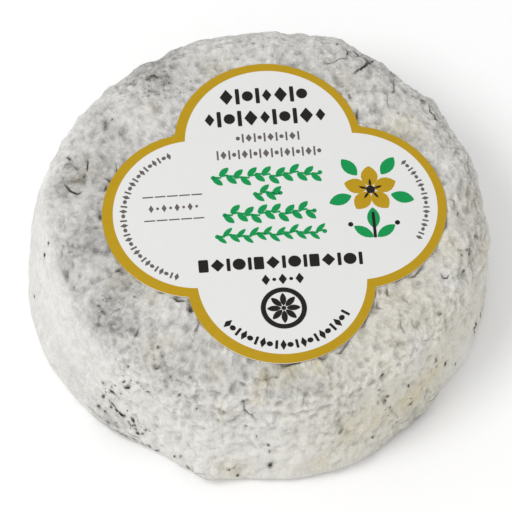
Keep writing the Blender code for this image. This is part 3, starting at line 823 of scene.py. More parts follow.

# %% [markdown]
# ## How the ash and the mould are spread
# Charcoal ash gives the grey, white mould covers it unevenly, and where the rind is dampest a faint cream
# colour comes through. The amounts are numbers for each point again: a level for each zone, a darker tone at
# two stretches of the foot, patches at given places, and clouds of three sizes to break them up. The amount
# of
# ash also holds painted shade: the creases are darkened, some patches are painted shadow under the label's
# edge, and a few take it down as painted light where the lamp and the floor leave the lower right wall and
# the front of the foot in shade. The furrows are darker, partly from ash and partly from painted shade, by an
# amount of their own.

# %% Patches of ash and cream
ASH_SHADE_AND_LIGHT_PATCHES = (                 # amount, size in mm and place in mm
    (0.26, 6.0, (-19.0, 30.0, 26.0)),
    (0.32, 5.0, (-17.5, 36.5, 24.3)),
    (-0.26, 5.0, (-22.5, 26.0, 26.0)),
    (0.24, 4.0, (-27.5, 20.0, 26.0)),
    (-0.14, 4.0, (-34.7, 22.1, 23.6)),
    (0.20, 3.5, (-26.6, 12.8, 26.3)),
    (0.30, 4.0, (-36.4, 9.6, 26.0)),
    (0.12, 3.5, (-32.5, 2.5, 26.2)),
    (0.10, 3.0, (-29.2, 8.2, 26.3)),
    (0.32, 4.5, (-33.0, -3.5, 26.2)),
    (-0.10, 4.0, (-38.9, 0.4, 25.2)),
    (0.18, 3.0, (-37.6, -9.0, 25.0)),
    (-0.24, 4.0, (-40.1, 12.3, 22.8)),
    (0.22, 4.0, (-27.3, -13.0, 26.3)),
    (0.38, 4.0, (-31.8, -20.6, 25.5)),
    (0.14, 3.5, (-26.5, -22.5, 26.0)),
    (0.12, 4.0, (-30.7, -27.3, 21.4)),
    (0.28, 4.0, (-31.5, -31.8, 3.5)),
    (0.14, 5.0, (-37.3, -24.0, 7.2)),
    (0.20, 4.0, (-18.3, -32.3, 25.5)),
    (0.16, 4.0, (-11.0, -35.2, 26.0)),
    (-0.22, 3.0, (-15.1, -35.8, 24.6)),
    (-0.10, 4.0, (-12.8, -41.9, 11.5)),
    (-0.14, 3.5, (-8.0, -38.0, 25.0)),
    (-0.12, 7.0, (3.0, -41.0, 22.5)),
    (0.15, 4.0, (1.8, -34.6, 26.2)),
    (-0.14, 8.0, (20.0, -30.0, 26.0)),
    (-0.20, 9.0, (26.0, -33.0, 14.0)),
    (-0.34, 6.0, (34.0, -26.0, 18.5)),
    (-0.14, 4.5, (23.5, -34.3, 21.0)),
    (0.14, 3.0, (40.8, -4.8, 25.1)),
    (0.18, 4.0, (38.5, -12.0, 25.6)),
    (0.12, 4.0, (41.5, 6.5, 24.0)),
    (0.13, 3.5, (13.5, 31.5, 26.3)),
    (-0.17, 8.0, (34.0, -16.0, 24.0)),
    (-0.14, 3.5, (23.6, -19.4, 26.2)),
    # These two paint light: they lift the lower right wall, which the lamp and the floor leave in shade.
    (-0.42, 6.0, (38.6, -21.2, 4.5)),
    (-0.38, 7.0, (43.0, -9.8, 12.0)),
    (-0.12, 3.0, (43.0, -8.4, 21.5)),
    (0.36, 4.0, (28.3, -33.8, 3.2)),
    (0.14, 3.5, (24.0, -36.5, 8.8)),
    (-0.28, 4.0, (35.0, -8.8, 26.1)),
    (-0.18, 5.5, (36.3, 4.5, 26.0)),
    (0.14, 3.5, (38.4, 18.1, 22.2)),
    (0.12, 4.0, (32.5, 26.0, 24.5)),
    (-0.18, 4.5, (23.5, 20.5, 26.5)),
    (0.26, 4.0, (22.8, 34.5, 24.9)),
    (-0.11, 4.5, (2.5, 34.6, 26.2)),
    # This one paints light: it lifts the front of the foot out of the shade next to the floor.
    (-0.32, 7.0, (2.0, -45.0, 2.4)),
    (0.15, 3.0, (-17.2, -41.8, 1.8)),
    # These three paint shadow in the crevices under the label's edge.
    (0.16, 2.2, (16.2, -30.6, 26.2)),
    (0.12, 2.0, (33.4, -9.6, 26.2)),
    (0.10, 2.0, (35.8, -4.4, 26.1)),
    (0.13, 2.2, (-29.5, 9.3, 26.3)),
    (0.13, 2.2, (-31.3, -5.5, 26.2)),
    (-0.10, 2.0, (-36.3, -4.3, 25.8)),
    (-0.07, 2.0, (-29.6, -22.8, 25.8)),
    (-0.08, 2.2, (28.4, 25.4, 26.0)),
    (-0.12, 3.0, (27.5, -30.9, 22.6)),
)
CREAM_AND_LIGHT_PATCHES = (               # amount, size in mm and place in mm
    (0.30, 2.0, (-10.9, -40.3, 21.3)),
    (0.35, 1.6, (-4.2, -39.4, 24.7)),
    (0.40, 4.0, (27.5, 16.5, 26.5)),
    (0.65, 2.0, (-2.5, -35.6, 26.1)),
    (0.55, 2.0, (2.4, -34.8, 26.2)),
    (0.55, 2.0, (7.8, -33.7, 26.2)),
    (0.35, 2.0, (-22.3, -17.3, 26.5)),
    (0.35, 2.0, (-11.4, -33.6, 26.3)),
    (0.35, 3.0, (-6.0, 32.7, 26.1)),
    (0.35, 3.0, (-27.3, -13.0, 26.3)),
    (0.25, 3.0, (17.9, 27.0, 26.5)),
    (0.25, 2.5, (-32.2, 11.8, 26.1)),
    (0.45, 3.0, (-8.5, -44.0, 4.8)),
    (0.30, 3.5, (13.5, -40.8, 15.5)),
    (0.20, 4.0, (13.0, -41.6, 10.0)),
    (0.40, 4.0, (19.5, -38.5, 13.0)),
    (0.45, 3.5, (26.9, -33.8, 11.3)),
    (0.45, 3.5, (31.0, -29.7, 12.5)),
    (0.25, 3.0, (42.9, -8.5, 21.3)),
    (-0.20, 4.0, (35.0, -16.4, 26.1)),
    (0.20, 3.0, (31.7, 16.0, 26.5)),
    (0.25, 1.5, (-19.6, -26.6, 26.1)),
    (0.25, 3.0, (-9.0, 43.0, 14.0)),
    (0.20, 4.0, (20.0, 38.0, 12.0)),
    (0.35, 1.6, (-19.0, 24.4, 26.4)),
    (0.45, 1.3, (-34.9, 8.9, 26.0)),
    (0.20, 1.6, (24.1, -29.5, 25.6)),
    (0.30, 1.0, (15.1, 32.5, 26.2)),
    (0.25, 2.5, (40.6, 1.4, 25.1)),
    (0.35, 3.0, (25.9, -34.6, 11.0)),
    (0.35, 2.5, (7.7, -44.1, 5.1)),
    (0.25, 3.0, (-22.6, -28.8, 25.8)),
    (0.25, 2.5, (34.7, -9.4, 26.2)),
    (0.25, 3.0, (42.6, -11.0, 8.6)),
    (0.25, 2.0, (22.6, -20.6, 26.1)),
    (-0.30, 3.0, (26.6, -30.4, 24.0)),
    # This one takes out cream and also paints light on the lower right wall, which the lamp leaves in shade.
    (-0.35, 5.0, (38.0, -22.0, 4.0)),
)
print("patches:", len(ASH_SHADE_AND_LIGHT_PATCHES), "of ash,", len(CREAM_AND_LIGHT_PATCHES), "of cream")

# %% Amounts of ash and cream, with painted shade and light
foot = 1 - smoothstep(0.5, 3.5, level)
ash = 0.265 * on_top + 0.06 * on_side - 0.04 * around(265, 45) - 0.09 * around(297, 28)
ash += 0.16 * around(75, 60) * on_side
ash += (0.45 * around(307, 26) + 0.34 * around(230, 20)) * foot
ash *= 1 - 0.4 * white_side
ash += (0.12 * clouds(8, 11, 3) + 0.06 * clouds(2.6, 12, 2)) * (1 - 0.5 * white_side)
ash += 0.06 * clouds(4.5, 31, 2) * around(30, 80)
# Painted shade goes in here too: the creases are darkened, some of the patches paint shadow and some paint
# light.
ash += 0.22 * crease_shade + (0.04 + 0.08 * streaks) * white_side + patches(ASH_SHADE_AND_LIGHT_PATCHES)
spots = smoothstep(0.1, 0.6, clouds(2.0, 13)) * (0.25 + 0.75 * around(300, 80))
cream = 0.02 + 0.12 * around(320, 140) + 0.14 * spots + 0.16 * around(318, 62)
cream += 0.8 * patches(CREAM_AND_LIGHT_PATCHES) * (0.9 + 0.8 * clouds(1.8, 14))
print("cream", [round(float(v), 2) for v in np.percentile(cream, (2, 50, 98))])

# %% [markdown]
# The material draws some detail finer than the mesh, and these amounts say where: furrows that stay grey,
# seams between the smallest pebbles of mould, ruffles, and pits with specks of ash. The furrows' grey is
# partly ash and partly painted shade, deeper the lower a point lies below its surroundings, with a painted
# highlight where a point stands above them.

# %% Amounts of furrows and ruffles
# The furrow amount is ash in the folds plus painted shade: it grows with the hollow and valley depths, and a
# painted highlight lowers it on raised points.
furrow_ash_and_shade = 0.40 * (1.4 - 0.8 * fading) * (0.5 - 0.5 * broad_folds) + 0.30 * fading * (0.5 - 0.5 * fine_folds)
furrow_ash_and_shade += 0.32 * broken * gaps + 0.35 * smoothstep(0.0, 0.3, hollow) - 0.2 * smoothstep(0.0, 0.2, -hollow)
furrow_ash_and_shade = furrow_ash_and_shade * calm + 0.3 * smoothstep(0.0, 0.4, valley)
creasing = calm * (0.4 + 0.6 * fading) * (0.8 + 0.2 * wrinkled)
ruffled = 0.6 + 0.5 * around(55, 115) + 0.5 * around(222, 30) * on_top + 0.3 * on_side
ruffled -= (0.2 * around(270, 45) + 0.25 * around(350, 45)) * on_top
ruffled = ruffled * calm * (0.7 + 0.3 * broken) + 0.25 * white_side
ash -= 0.03 * ruffled
print("ash", [round(float(v), 2) for v in np.percentile(ash, (2, 50, 98))])

# %% [markdown]
# ## The finishes
# A colour is written as the sRGB hex value that a picture would show, and one function turns it to the
# linear values that a shader needs. Another adds a node with its settings and links.


# %% Helpers for materials
def colour(hex_value):
    """Linear red, green, blue and alpha of an sRGB hex value."""
    shares = [int(hex_value[i:i + 2], 16) / 255 for i in (1, 3, 5)]
    return [s / 12.92 if s <= 0.04045 else ((s + 0.055) / 1.055) ** 2.4 for s in shares] + [1.0]


def new_material(name):
    """A material with nothing in it but its output and a Principled shader."""
    material = bpy.data.materials.new(name)
    material.use_nodes = True
    return material, material.node_tree.nodes["Principled BSDF"]


def wire(material, made, key, value):
    """Sets one input of a node by its name, or by its number, such as i0."""
    numbered = key[0] == "i" and key[1:].isdigit()
    socket = made.inputs[int(key[1:])] if numbered else made.inputs[key]
    if isinstance(value, bpy.types.NodeSocket):
        material.node_tree.links.new(value, socket)
    else:
        socket.default_value = value


def node(material, kind, settings=None, **inputs):
    """Adds a node: settings are its own properties, and inputs are values or the outputs that feed them."""
    made = material.node_tree.nodes.new("ShaderNode" + kind)
    for key, value in (settings or {}).items():
        setattr(made, key, value)
    for key, value in inputs.items():
        wire(material, made, key.replace("_", " "), value)
    return made


def write(piece, name, values):
    """Stores one number for each point of a piece, for its material to read."""
    attribute = piece.data.attributes.new(name, "FLOAT", "POINT")
    attribute.data.foreach_set("value", np.asarray(values, np.float32))


print("a middle grey is", round(colour("#808080")[0], 3), "in linear values")


# %% Store the amounts on the rind
amounts = {
    "ash": ash,
    "furrow_ash_and_shade": furrow_ash_and_shade,
    "creasing": creasing,
    "ruffled": ruffled,
    "pitted": pitted,
    "cream": cream,
    "stain": stain,
    "crack_offset": crack_offset,
    "crack_dark_and_gap_shadow": crack_dark_and_gap_shadow,
}
for name, values in amounts.items():
    write(rind, name, values)
print("stored on every point:", ", ".join(amounts))

# %% [markdown]
# The grain that the material adds follows a map of the surface, so that it can be drawn out one way. The
# map runs round the cheese at its mean radius and down from its middle to its foot. It is stretched, so
# that the grain lies along the rim at the right, and runs down the slope elsewhere, most of all at the
# front.

# %% Map the grain
MEAN_RADIUS = 38                # mm, where the map is true to size
SHOULDER_FALL = 13              # mm, radius less level at the middle of the shoulder
along_rim = around(30, 80)
outward_run = around(262, 65)
grain_map = outwards * (MEAN_RADIUS * (1 - 0.3 * along_rim))[:, None]
fall = np.linalg.norm(points[:, :2], axis=1) - points[:, 2] - SHOULDER_FALL
grain_map[:, 2] = (0.75 + 0.45 * along_rim - 0.22 * outward_run) * fall
flow_stored = rind.data.attributes.new("flow", "FLOAT_VECTOR", "POINT")
flow_stored.data.foreach_set("vector", grain_map.astype(np.float32).ravel())
print("the map falls from", round(float(fall.min()), 1), "to", round(float(fall.max()), 1), "mm")

# %% [markdown]
# ## The rind's material
# Mould is a felt of fine white threads over dark ash: matt, and brightest where it is thick. The shader
# adds up the stored amounts of ash with grain finer than the mesh can hold, reads the tone off a ramp from
# white mould to ash grey, tints it with cream, and darkens the stains and cracks. The stored amounts also
# carry painted shade: in the furrows and creases, and as painted shadow in the gaps under the label's edge,
# which are drawn with the cracks. The grain has five sizes: threads of 0.45 mm, specks of 0.9 mm, ruffles
# of 1.1 mm, pebbles of 1.25 mm and a mottle of 2.2 mm.

# %% Patterns of the mould
METRE = 1 / MM                  # mm in a metre, for noise that is scaled by its grain in mm
STRAY = 1.6                     # mm, the width of the wobble in the map and how far it carries
PEBBLE = 1.25                   # mm
SMOOTH = {"interpolation_type": "SMOOTHSTEP"}
TIMES = {"operation": "MULTIPLY"}
TIMES_PLUS = {"operation": "MULTIPLY_ADD"}
mould, mould_shader = new_material("mould_over_ash")
here = node(mould, "TexCoord").outputs["Object"]
flow = node(mould, "Attribute", {"attribute_name": "flow"}).outputs["Vector"]
in_mm = node(mould, "VectorMath", {"operation": "SCALE"}, i0=here, Scale=METRE).outputs["Vector"]
wobble = node(mould, "TexNoise", Vector=in_mm, Scale=1 / STRAY, Detail=1.0).outputs["Color"]
carried = node(mould, "VectorMath", TIMES_PLUS, i0=wobble, i1=(STRAY, STRAY, STRAY), i2=flow)
strayed = carried.outputs["Vector"]
GRAINS = (                      # name, what it follows, size in mm, detail, roughness and distortion
    ("fine", in_mm, 0.45, 3.0, 0.6, 0.0),
    ("mottle", strayed, 2.2, 3.0, 0.55, 0.0),
    ("ruffle", strayed, 1.1, 2.0, 0.6, 0.4),
    ("speck", in_mm, 0.9, 2.0, 0.5, 0.8),
)
grain = {}
for name, vector, size, detail, roughness, distortion in GRAINS:
    kind = {"Detail": detail, "Roughness": roughness, "Distortion": distortion}
    made = node(mould, "TexNoise", Vector=vector, Scale=1 / size, **kind)
    evened = node(mould, "Math", {"operation": "SUBTRACT"}, i0=made.outputs["Fac"], i1=0.5)
    grain[name] = evened.outputs["Value"]
print("grains of the mould:", {name: size for name, _, size, *_ in GRAINS}, "mm")

# %% [markdown]
# Each pattern counts only where the rind has it, so it is multiplied with its stored amount. The seams lie
# between pebbles, which are the cells of a Voronoi texture, and the smudges are the few darkest specks.

# %% Where the patterns show
stored = {}
for name in amounts:
    stored[name] = node(mould, "Attribute", {"attribute_name": name}).outputs["Fac"]
cells = node(mould, "TexVoronoi", {"feature": "SMOOTH_F1"}, Vector=strayed, Scale=1 / PEBBLE, Smoothness=0.4)
edges = node(mould, "MapRange", SMOOTH, Value=cells.outputs["Distance"], From_Min=0.30, From_Max=0.62)
seam = node(mould, "Math", TIMES, i0=edges.outputs["Result"], i1=stored["creasing"]).outputs["Value"]
ruffle = node(mould, "Math", TIMES, i0=grain["ruffle"], i1=stored["ruffled"]).outputs["Value"]
darkest = node(mould, "MapRange", SMOOTH, Value=grain["speck"], From_Min=0.10, From_Max=0.24)
smudges = node(mould, "Math", TIMES, i0=darkest.outputs["Result"], i1=stored["pitted"]).outputs["Value"]
print("amounts that the mould reads:", len(stored))

# %% [markdown]
# The tone is the stored ash, which also holds painted shade and light, plus a share of each pattern, and the
# ramp turns it into a grey.

# %% Tone of the mould
MOULD_WHITE = "#e4e3e0"
MOULD_GREY = "#c0bfbc"
ASH_GREY = "#84827f"
tone_layers = (
    # the furrows bring ash and painted shade in the hollows
    (stored["furrow_ash_and_shade"], 0.28),
    (seam, 0.09),
    (ruffle, 0.70),
    (grain["fine"], 0.38),
    (grain["mottle"], 0.40),
    (smudges, 0.75),
)
amount = stored["ash"]
for layer, weight in tone_layers:
    amount = node(mould, "Math", TIMES_PLUS, i0=layer, i1=weight, i2=amount).outputs["Value"]
ramp = node(mould, "ValToRGB", Fac=amount)
stops = ramp.color_ramp.elements
stops.new(0.5)
for stop, hex_value in zip(stops, (MOULD_WHITE, MOULD_GREY, ASH_GREY)):
    stop.color = colour(hex_value)
print("ramp:", [round(stop.position, 2) for stop in stops])

# %% [markdown]
# Cream is a tint, so it is multiplied in. Stains and cracks cover what lies below, and the cracks' dark also
# paints the shadow in the gaps under the label's edge. The fine grain frays both: it breaks up a stain, and
# it moves the edge of a crack in and out.

# %% Cream, stains and cracks
CREAM_TINT = "#eadfbb"
BARE_ASH = "#56524a"
CRACK_AND_GAP_SHADOW = "#35322e"
frayed = node(mould, "Math", TIMES_PLUS, i0=grain["fine"], i1=2.0, i2=0.8).outputs["Value"]
stain_share = node(mould, "Math", TIMES, i0=stored["stain"], i1=frayed).outputs["Value"]
offset = node(mould, "Math", {"operation": "ABSOLUTE"}, i0=stored["crack_offset"]).outputs["Value"]
from_middle = node(mould, "Math", TIMES_PLUS, i0=grain["fine"], i1=1.2, i2=offset).outputs["Value"]
inside = node(mould, "MapRange", SMOOTH, Value=from_middle, From_Min=1.5, From_Max=0.7).outputs["Result"]
crack_and_gap_shadow_share = node(mould, "Math", TIMES, i0=inside, i1=stored["crack_dark_and_gap_shadow"]).outputs["Value"]
surface_layers = (
    ("MULTIPLY", stored["cream"], CREAM_TINT),
    ("MIX", stain_share, BARE_ASH),
    ("MIX", crack_and_gap_shadow_share, CRACK_AND_GAP_SHADOW),
)
surface = ramp.outputs["Color"]
for blend, share, hex_value in surface_layers:
    mixing = {"data_type": "RGBA", "blend_type": blend}
    mixed = node(mould, "Mix", mixing, Factor=share, i6=surface, i7=colour(hex_value))
    surface = mixed.outputs["Result"]
wire(mould, mould_shader, "Base Color", surface)
print("laid over the tone:", [hex_value for _, _, hex_value in surface_layers])

# %% [markdown]
# The threads also stand up a little. The bump raises the fine grain and sinks the seams, ruffles and
# smudges, which are the darker parts of the tone.

# %% Felt of the mould
height = 0.0
for layer, weight in ((grain["fine"], 0.22), (seam, -0.12), (ruffle, -0.26), (smudges, -0.10)):
    height = node(mould, "Math", TIMES_PLUS, i0=layer, i1=weight, i2=height).outputs["Value"]
fuzz = node(mould, "Bump", Strength=1.0, Distance=1.0 * MM, Height=height)
wire(mould, mould_shader, "Normal", fuzz.outputs["Normal"])
mould_shader.inputs["Roughness"].default_value = 0.85
mould_shader.inputs["Specular IOR Level"].default_value = 0.25
rind.data.materials.clear()
rind.data.materials.append(mould)
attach(rind, "root")
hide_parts("cheese")
print("mould:", len(mould.node_tree.nodes), "nodes")

# %% [markdown]
# ## Flecks of ash
# In places crumbs of charcoal stick out of the mould: a dense cluster low at the left, one at the right
# shoulder, and single ones all over the front. One crumb is modelled, a small sphere made rough and flat.
# Its copies are laid on the finished rind where the cheese shows them, half sunk, and smaller ones are
# strewn round the clusters.

# %% One crumb of ash
bpy.ops.mesh.primitive_ico_sphere_add(subdivisions=1, radius=0.5 * MM)
crumb = settle(bpy.context.active_object, "ash_crumb")
pick(crumb, "FACE", lambda face: True)
bpy.ops.transform.vertex_random(offset=0.16 * MM, seed=4, normal=0.6)
bpy.ops.transform.resize(value=(1, 1, 0.45), center_override=(0, 0, 0))
bpy.ops.object.mode_set(mode="OBJECT")
crumb.data.shade_smooth()
print("crumb:", len(crumb.data.polygons), "faces")

# %% [markdown]
# Charcoal ash is a dull, nearly black powder. Where it lies bare it is greyed by a dusting of mould, which
# the noise spreads unevenly over each crumb. Most crumbs are so far overgrown that only a grey brown is
# left.


# %% Bare and overgrown ash
def ash_dust(name, bare, dusted):
    """A dull powder, mixed in specks under a millimetre wide from its bare colour and its dusted one."""
    material, shader = new_material(name)
    spot = node(material, "TexCoord").outputs["Object"]
    dusting = node(material, "TexNoise", Vector=spot, Scale=METRE / 0.7, Detail=3.0).outputs["Fac"]
    share = node(material, "MapRange", SMOOTH, Value=dusting, From_Min=0.38, From_Max=0.64).outputs["Result"]
    mixed = node(material, "Mix", {"data_type": "RGBA"}, Factor=share, i6=colour(bare), i7=colour(dusted))
    wire(material, shader, "Base Color", mixed.outputs["Result"])
    shader.inputs["Roughness"].default_value = 0.9
    shader.inputs["Specular IOR Level"].default_value = 0.2
    return material


bare_ash = ash_dust("charcoal_ash", "#2b2825", "#6a665f")
overgrown_ash = ash_dust("overgrown_ash", "#58544a", "#9a968a")
print("ash:", bare_ash.name, "and", overgrown_ash.name)

# %% [markdown]
# A mark that is dark enough gets crumbs in a row along its length, and the darkest ones are bare ash. Where
# the rind has many of them, smaller crumbs are strewn by chance, from a fixed seed. A tree of the rind's
# faces finds the nearest spot on it, and each crumb is turned to the rind's normal there and lies half
# sunk.

# %% Where the crumbs lie
CLUSTERS = (            # how many, reach in mm and place
    (16, 4.2, (-29.5, -31.0, 11.0)),
    (8, 3.0, (-26.5, -34.5, 6.0)),
    (5, 3.5, (-25.0, -32.5, 20.0)),
    (6, 2.6, (38.6, -10.5, 25.6)),
    (5, 5.0, (33.0, -27.5, 12.0)),
    (4, 4.0, (41.0, -15.5, 7.0)),
    (5, 5.0, (-19.0, 30.0, 26.0)),
    (5, 9.0, (20.0, -37.5, 14.0)),
    (24, 9.0, (14.0, 41.0, 13.0)),
    (12, 9.0, (-22.0, 37.0, 12.0)),
)
rind_tree = BVHTree.FromObject(rind, bpy.context.evaluated_depsgraph_get())
chance = np.random.default_rng(12)
CRUMB_FROM = 0.45               # darkness from which a mark gets crumbs
BARE_FROM = 0.85                # darkness from which its ash is bare
BARE_SWELL = 1.25               # how much wider bare crumbs are than their mark
BARE_SHARE = 0.4                # of the strewn crumbs are bare ash


def lay_crumb(place, length, width, run, material):
    """Lays a copy of the crumb on the rind nearest to a place in mm, its length along a direction."""
    spot, facing, _, _ = rind_tree.find_nearest(Vector(place) * MM)
    across = facing.cross(Vector(run)).normalized()
    turned = Matrix((across.cross(facing), across, facing)).transposed()
    copy = crumb.copy()
    copy.data = crumb.data.copy()
    copy.data.materials.append(material)
    bpy.context.collection.objects.link(copy)
    size = Matrix.Diagonal((length, width, (length + width) / 2))
    copy.matrix_world = Matrix.Translation(spot) @ (turned @ size).to_4x4()
    return copy


def join(copies, name):
    """Joins copies into one piece under a name."""
    select_only(copies[0])
    for copy in copies:
        copy.select_set(True)
    bpy.ops.object.join()
    return settle(bpy.context.active_object, name)


# %% Lay the crumbs of the marks
crumbs_laid = []
for width, dark, *places in MARKS:
    if dark < CRUMB_FROM:
        continue
    start, end = both_ends(places)
    bare = dark >= BARE_FROM
    wide = width * (BARE_SWELL if bare else 1)
    count = max(1, round(np.linalg.norm(end - start) / (1.8 * width)))
    for share in (np.arange(count) + 0.5) / count:
        middle = start + (end - start) * share + chance.normal(0, 0.15 * width, 3)
        length = max(1.1 * wide, np.linalg.norm(end - start) / count + 0.3 * wide)
        run = end - start if np.any(end != start) else chance.normal(size=3)
        material = bare_ash if bare else overgrown_ash
        crumbs_laid.append(lay_crumb(middle, length, wide * chance.uniform(0.8, 1.1), run, material))
print("crumbs on the marks:", len(crumbs_laid))

# %% Strew the smaller crumbs
for count, spread_mm, place in CLUSTERS:
    for _ in range(count):
        strewn = np.array(place) + chance.normal(0, spread_mm / 2, 3)
        length = 0.28 + 0.42 * chance.random() ** 2
        width = length * chance.uniform(0.5, 0.9)
        material = bare_ash if chance.random() < BARE_SHARE else overgrown_ash
        crumbs_laid.append(lay_crumb(strewn, length, width, chance.normal(size=3), material))
ash_flecks = join(crumbs_laid, "ash_flecks")
bpy.data.objects.remove(crumb)
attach(ash_flecks, "root")
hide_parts("cheese")
print("flecks:", len(crumbs_laid), "crumbs,", len(ash_flecks.data.polygons), "faces")

# %% [markdown]
# ## Paper and inks
# Label paper is coated with chalk and pressed smooth, so it is an even, nearly white sheet with a faint
# sheen and a hint of its fibres. Printing ink sinks into that coat: it takes the paper's grain and only a
# little more gloss.


# %% Coated paper and printing ink
def on_paper(name, hex_value, shade, roughness):
    """A material of the paper family: a colour, a faint shade in its mottle, and the paper's grain."""
    material, shader = new_material(name)
    spot = node(material, "TexCoord").outputs["Object"]
    mottling = node(material, "TexNoise", Vector=spot, Scale=METRE / 1.2, Detail=4.0, Roughness=0.6)
    share = mottling.outputs["Fac"]
    tone = node(material, "Mix", {"data_type": "RGBA"}, Factor=share, i6=colour(hex_value), i7=colour(shade))
    wire(material, shader, "Base Color", tone.outputs["Result"])
    fibres = node(material, "TexNoise", Vector=spot, Scale=METRE / 0.35, Detail=2.0)
    grain = node(material, "Bump", Strength=0.25, Distance=0.02 * MM, Height=fibres.outputs["Fac"])
    wire(material, shader, "Normal", grain.outputs["Normal"])
    shader.inputs["Roughness"].default_value = roughness
    shader.inputs["Specular IOR Level"].default_value = 0.2
    return material


coated_paper = on_paper("coated_paper", "#e1e1e0", "#dddddb", 0.5)
inks = {
    "black": on_paper("black_ink", "#120f0e", "#1d1a18", 0.5),
    "green": on_paper("green_ink", "#00954d", "#048a48", 0.45),
    "grey": on_paper("grey_ink", "#5d5856", "#67625f", 0.42),
    "ochre": on_paper("ochre_ink", "#ba9611", "#af8b0c", 0.45),
}
print("inks:", ", ".join(inks))

# %% [markdown]
# ## The paper label
# The label is one sheet of coated paper cut to four round lobes. A filled circle gets rings by inset, each
# as many corners as the rim, and every ring is then stretched to the lobed outline or to a smaller copy of
# it. Two of the rings are the edges of the printed band, so the band is cut from real faces and its edge is
# clean.

# %% Cut the sheet
RIM_CORNERS = 360
SHEET_RINGS = 12
RING_STEP = 2 * MM              # from one ring to the next
START_RADIUS = 30 * MM
START_RISE = 0.2 * MM           # above the frame's label, before the sheet is laid down
bpy.ops.mesh.primitive_circle_add(
    vertices=RIM_CORNERS,
    radius=START_RADIUS,
    fill_type="NGON",
    location=(0, 0, label_high.z + START_RISE),
)
label = settle(bpy.context.active_object, "lobed_label")
pick(label, "FACE", lambda face: True)
for _ in range(SHEET_RINGS):
    bpy.ops.mesh.inset(thickness=RING_STEP)
bpy.ops.mesh.poke()
bpy.ops.object.mode_set(mode="OBJECT")
print("sheet:", len(label.data.polygons), "faces")

# %% [markdown]
# The outline is that of four discs side by side, so its reach at an angle is worked out from the nearest
# disc. The print doesn't sit quite true on the cut sheet, which leaves the band a little wider at the left,
# so the rings inside the band are shifted to the right by a fraction of a millimetre.

# %% Stretch the rings to the lobes
BAND_WIDTH = 1.97                         # mm
NUDGE = np.array((-0.1, 0.25))            # mm, because the sheet was laid down by hand
PRINT_SHIFT = np.array((0.30, 0.0))       # mm that the print sits off the cut outline
EDGE_SHARE = 0.15                         # of that shift which the band's outer edge takes
TRIM = 0.06                               # mm of white paper left outside the band
SPREAD = 0.15                             # mm that the paper's lobes are larger than the frame's


def lobed(angles, inwards=0.0):
    """The outline's reach in mm at each angle, or that of a line a little inside it."""
    turned = (angles + math.pi / 4) % (math.pi / 2) - math.pi / 4
    radius = LOBE_RADIUS + SPREAD - inwards
    return LOBE_OFFSET * np.cos(turned) + np.sqrt(radius**2 - (LOBE_OFFSET * np.sin(turned)) ** 2)


def move_points(piece, places):
    """Moves the points of a piece to places given as rows, in metres."""
    piece.data.vertices.foreach_set("co", places.astype(np.float32).ravel())


flat = read(label.data, "co")
around_sheet = np.arctan2(flat[:, 1], flat[:, 0])
ring = np.round((START_RADIUS - np.linalg.norm(flat[:, :2], axis=1)) / RING_STEP).astype(int)
band_inside = lobed(around_sheet, TRIM + BAND_WIDTH)
reach = np.where(ring == 0, lobed(around_sheet), lobed(around_sheet, TRIM))
inner_share = np.clip(1 - (ring - 2) / (SHEET_RINGS - 1), 0, 1)
reach = np.where(ring > 1, band_inside * inner_share, reach)
reach[ring > SHEET_RINGS] = 0
shift_share = np.where(ring == 1, EDGE_SHARE, ring > 0)[:, None]
shift = shift_share * PRINT_SHIFT + NUDGE
across = np.stack([np.cos(around_sheet), np.sin(around_sheet)], axis=1) * reach[:, None]
flat[:, :2] = (across + shift + label_middle[:2]) * MM
move_points(label, flat)
label.data.materials.append(coated_paper)
label.data.materials.append(inks["ochre"])
band_faces = [all(ring[i] in (1, 2) for i in face.vertices) for face in label.data.polygons]
for face, in_band in zip(label.data.polygons, band_faces):
    face.material_index = int(in_band)
print("band:", sum(band_faces), "faces")

# %% [markdown]
# ## Laying the label down
# Paper bends one way at a time and never follows small bumps, so the sheet is laid on the frame's label,
# smoothed in height alone, and lifted by long low waves that grow towards its rim. It comes down a tenth of
# a millimetre, which puts it on the wrinkles, and Solidify gives it the thickness of label paper.

# %% Lay the label on the cheese
SETTLING = 0.10                 # mm that the sheet comes down on the wrinkles
PAPER = 0.18                    # mm, its thickness
LIFT = 0.22                     # mm that its waves stand up at the rim
WAVE = 9                        # mm
modify(label, "SHRINKWRAP", target=frame["nodes"]["paper_label"], wrap_method="NEAREST_SURFACEPOINT")
modify(label, "SMOOTH", factor=0.5, iterations=10, use_x=False, use_y=False)
laid = read(label.data, "co") / MM
to_rim = smoothstep(-6, 0, from_label(laid))
waves = np.array([noise.noise(Vector((x / WAVE, y / WAVE, 4.2))) for x, y, _ in laid])
laid[:, 2] += LIFT * np.clip(waves + 0.1, 0, 1) * to_rim - SETTLING
move_points(label, laid * MM)
modify(label, "SOLIDIFY", thickness=PAPER * MM, offset=-1)
label.data.shade_smooth()
select_only(label)
bpy.ops.object.shade_smooth_by_angle(angle=math.radians(30))
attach(label, "root")
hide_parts("paper_label")
print("label:", [round(size / MM, 1) for size in label.dimensions], "mm")

# %% [markdown]
# ## Shapes for the print
# The print is made of a few plain shapes: disc, lozenge, bar, leaf and ring. Each is modelled once as a
# flat shape one millimetre across, then copied, turned and stretched wherever the print needs it. They are
# ornaments and no letters.


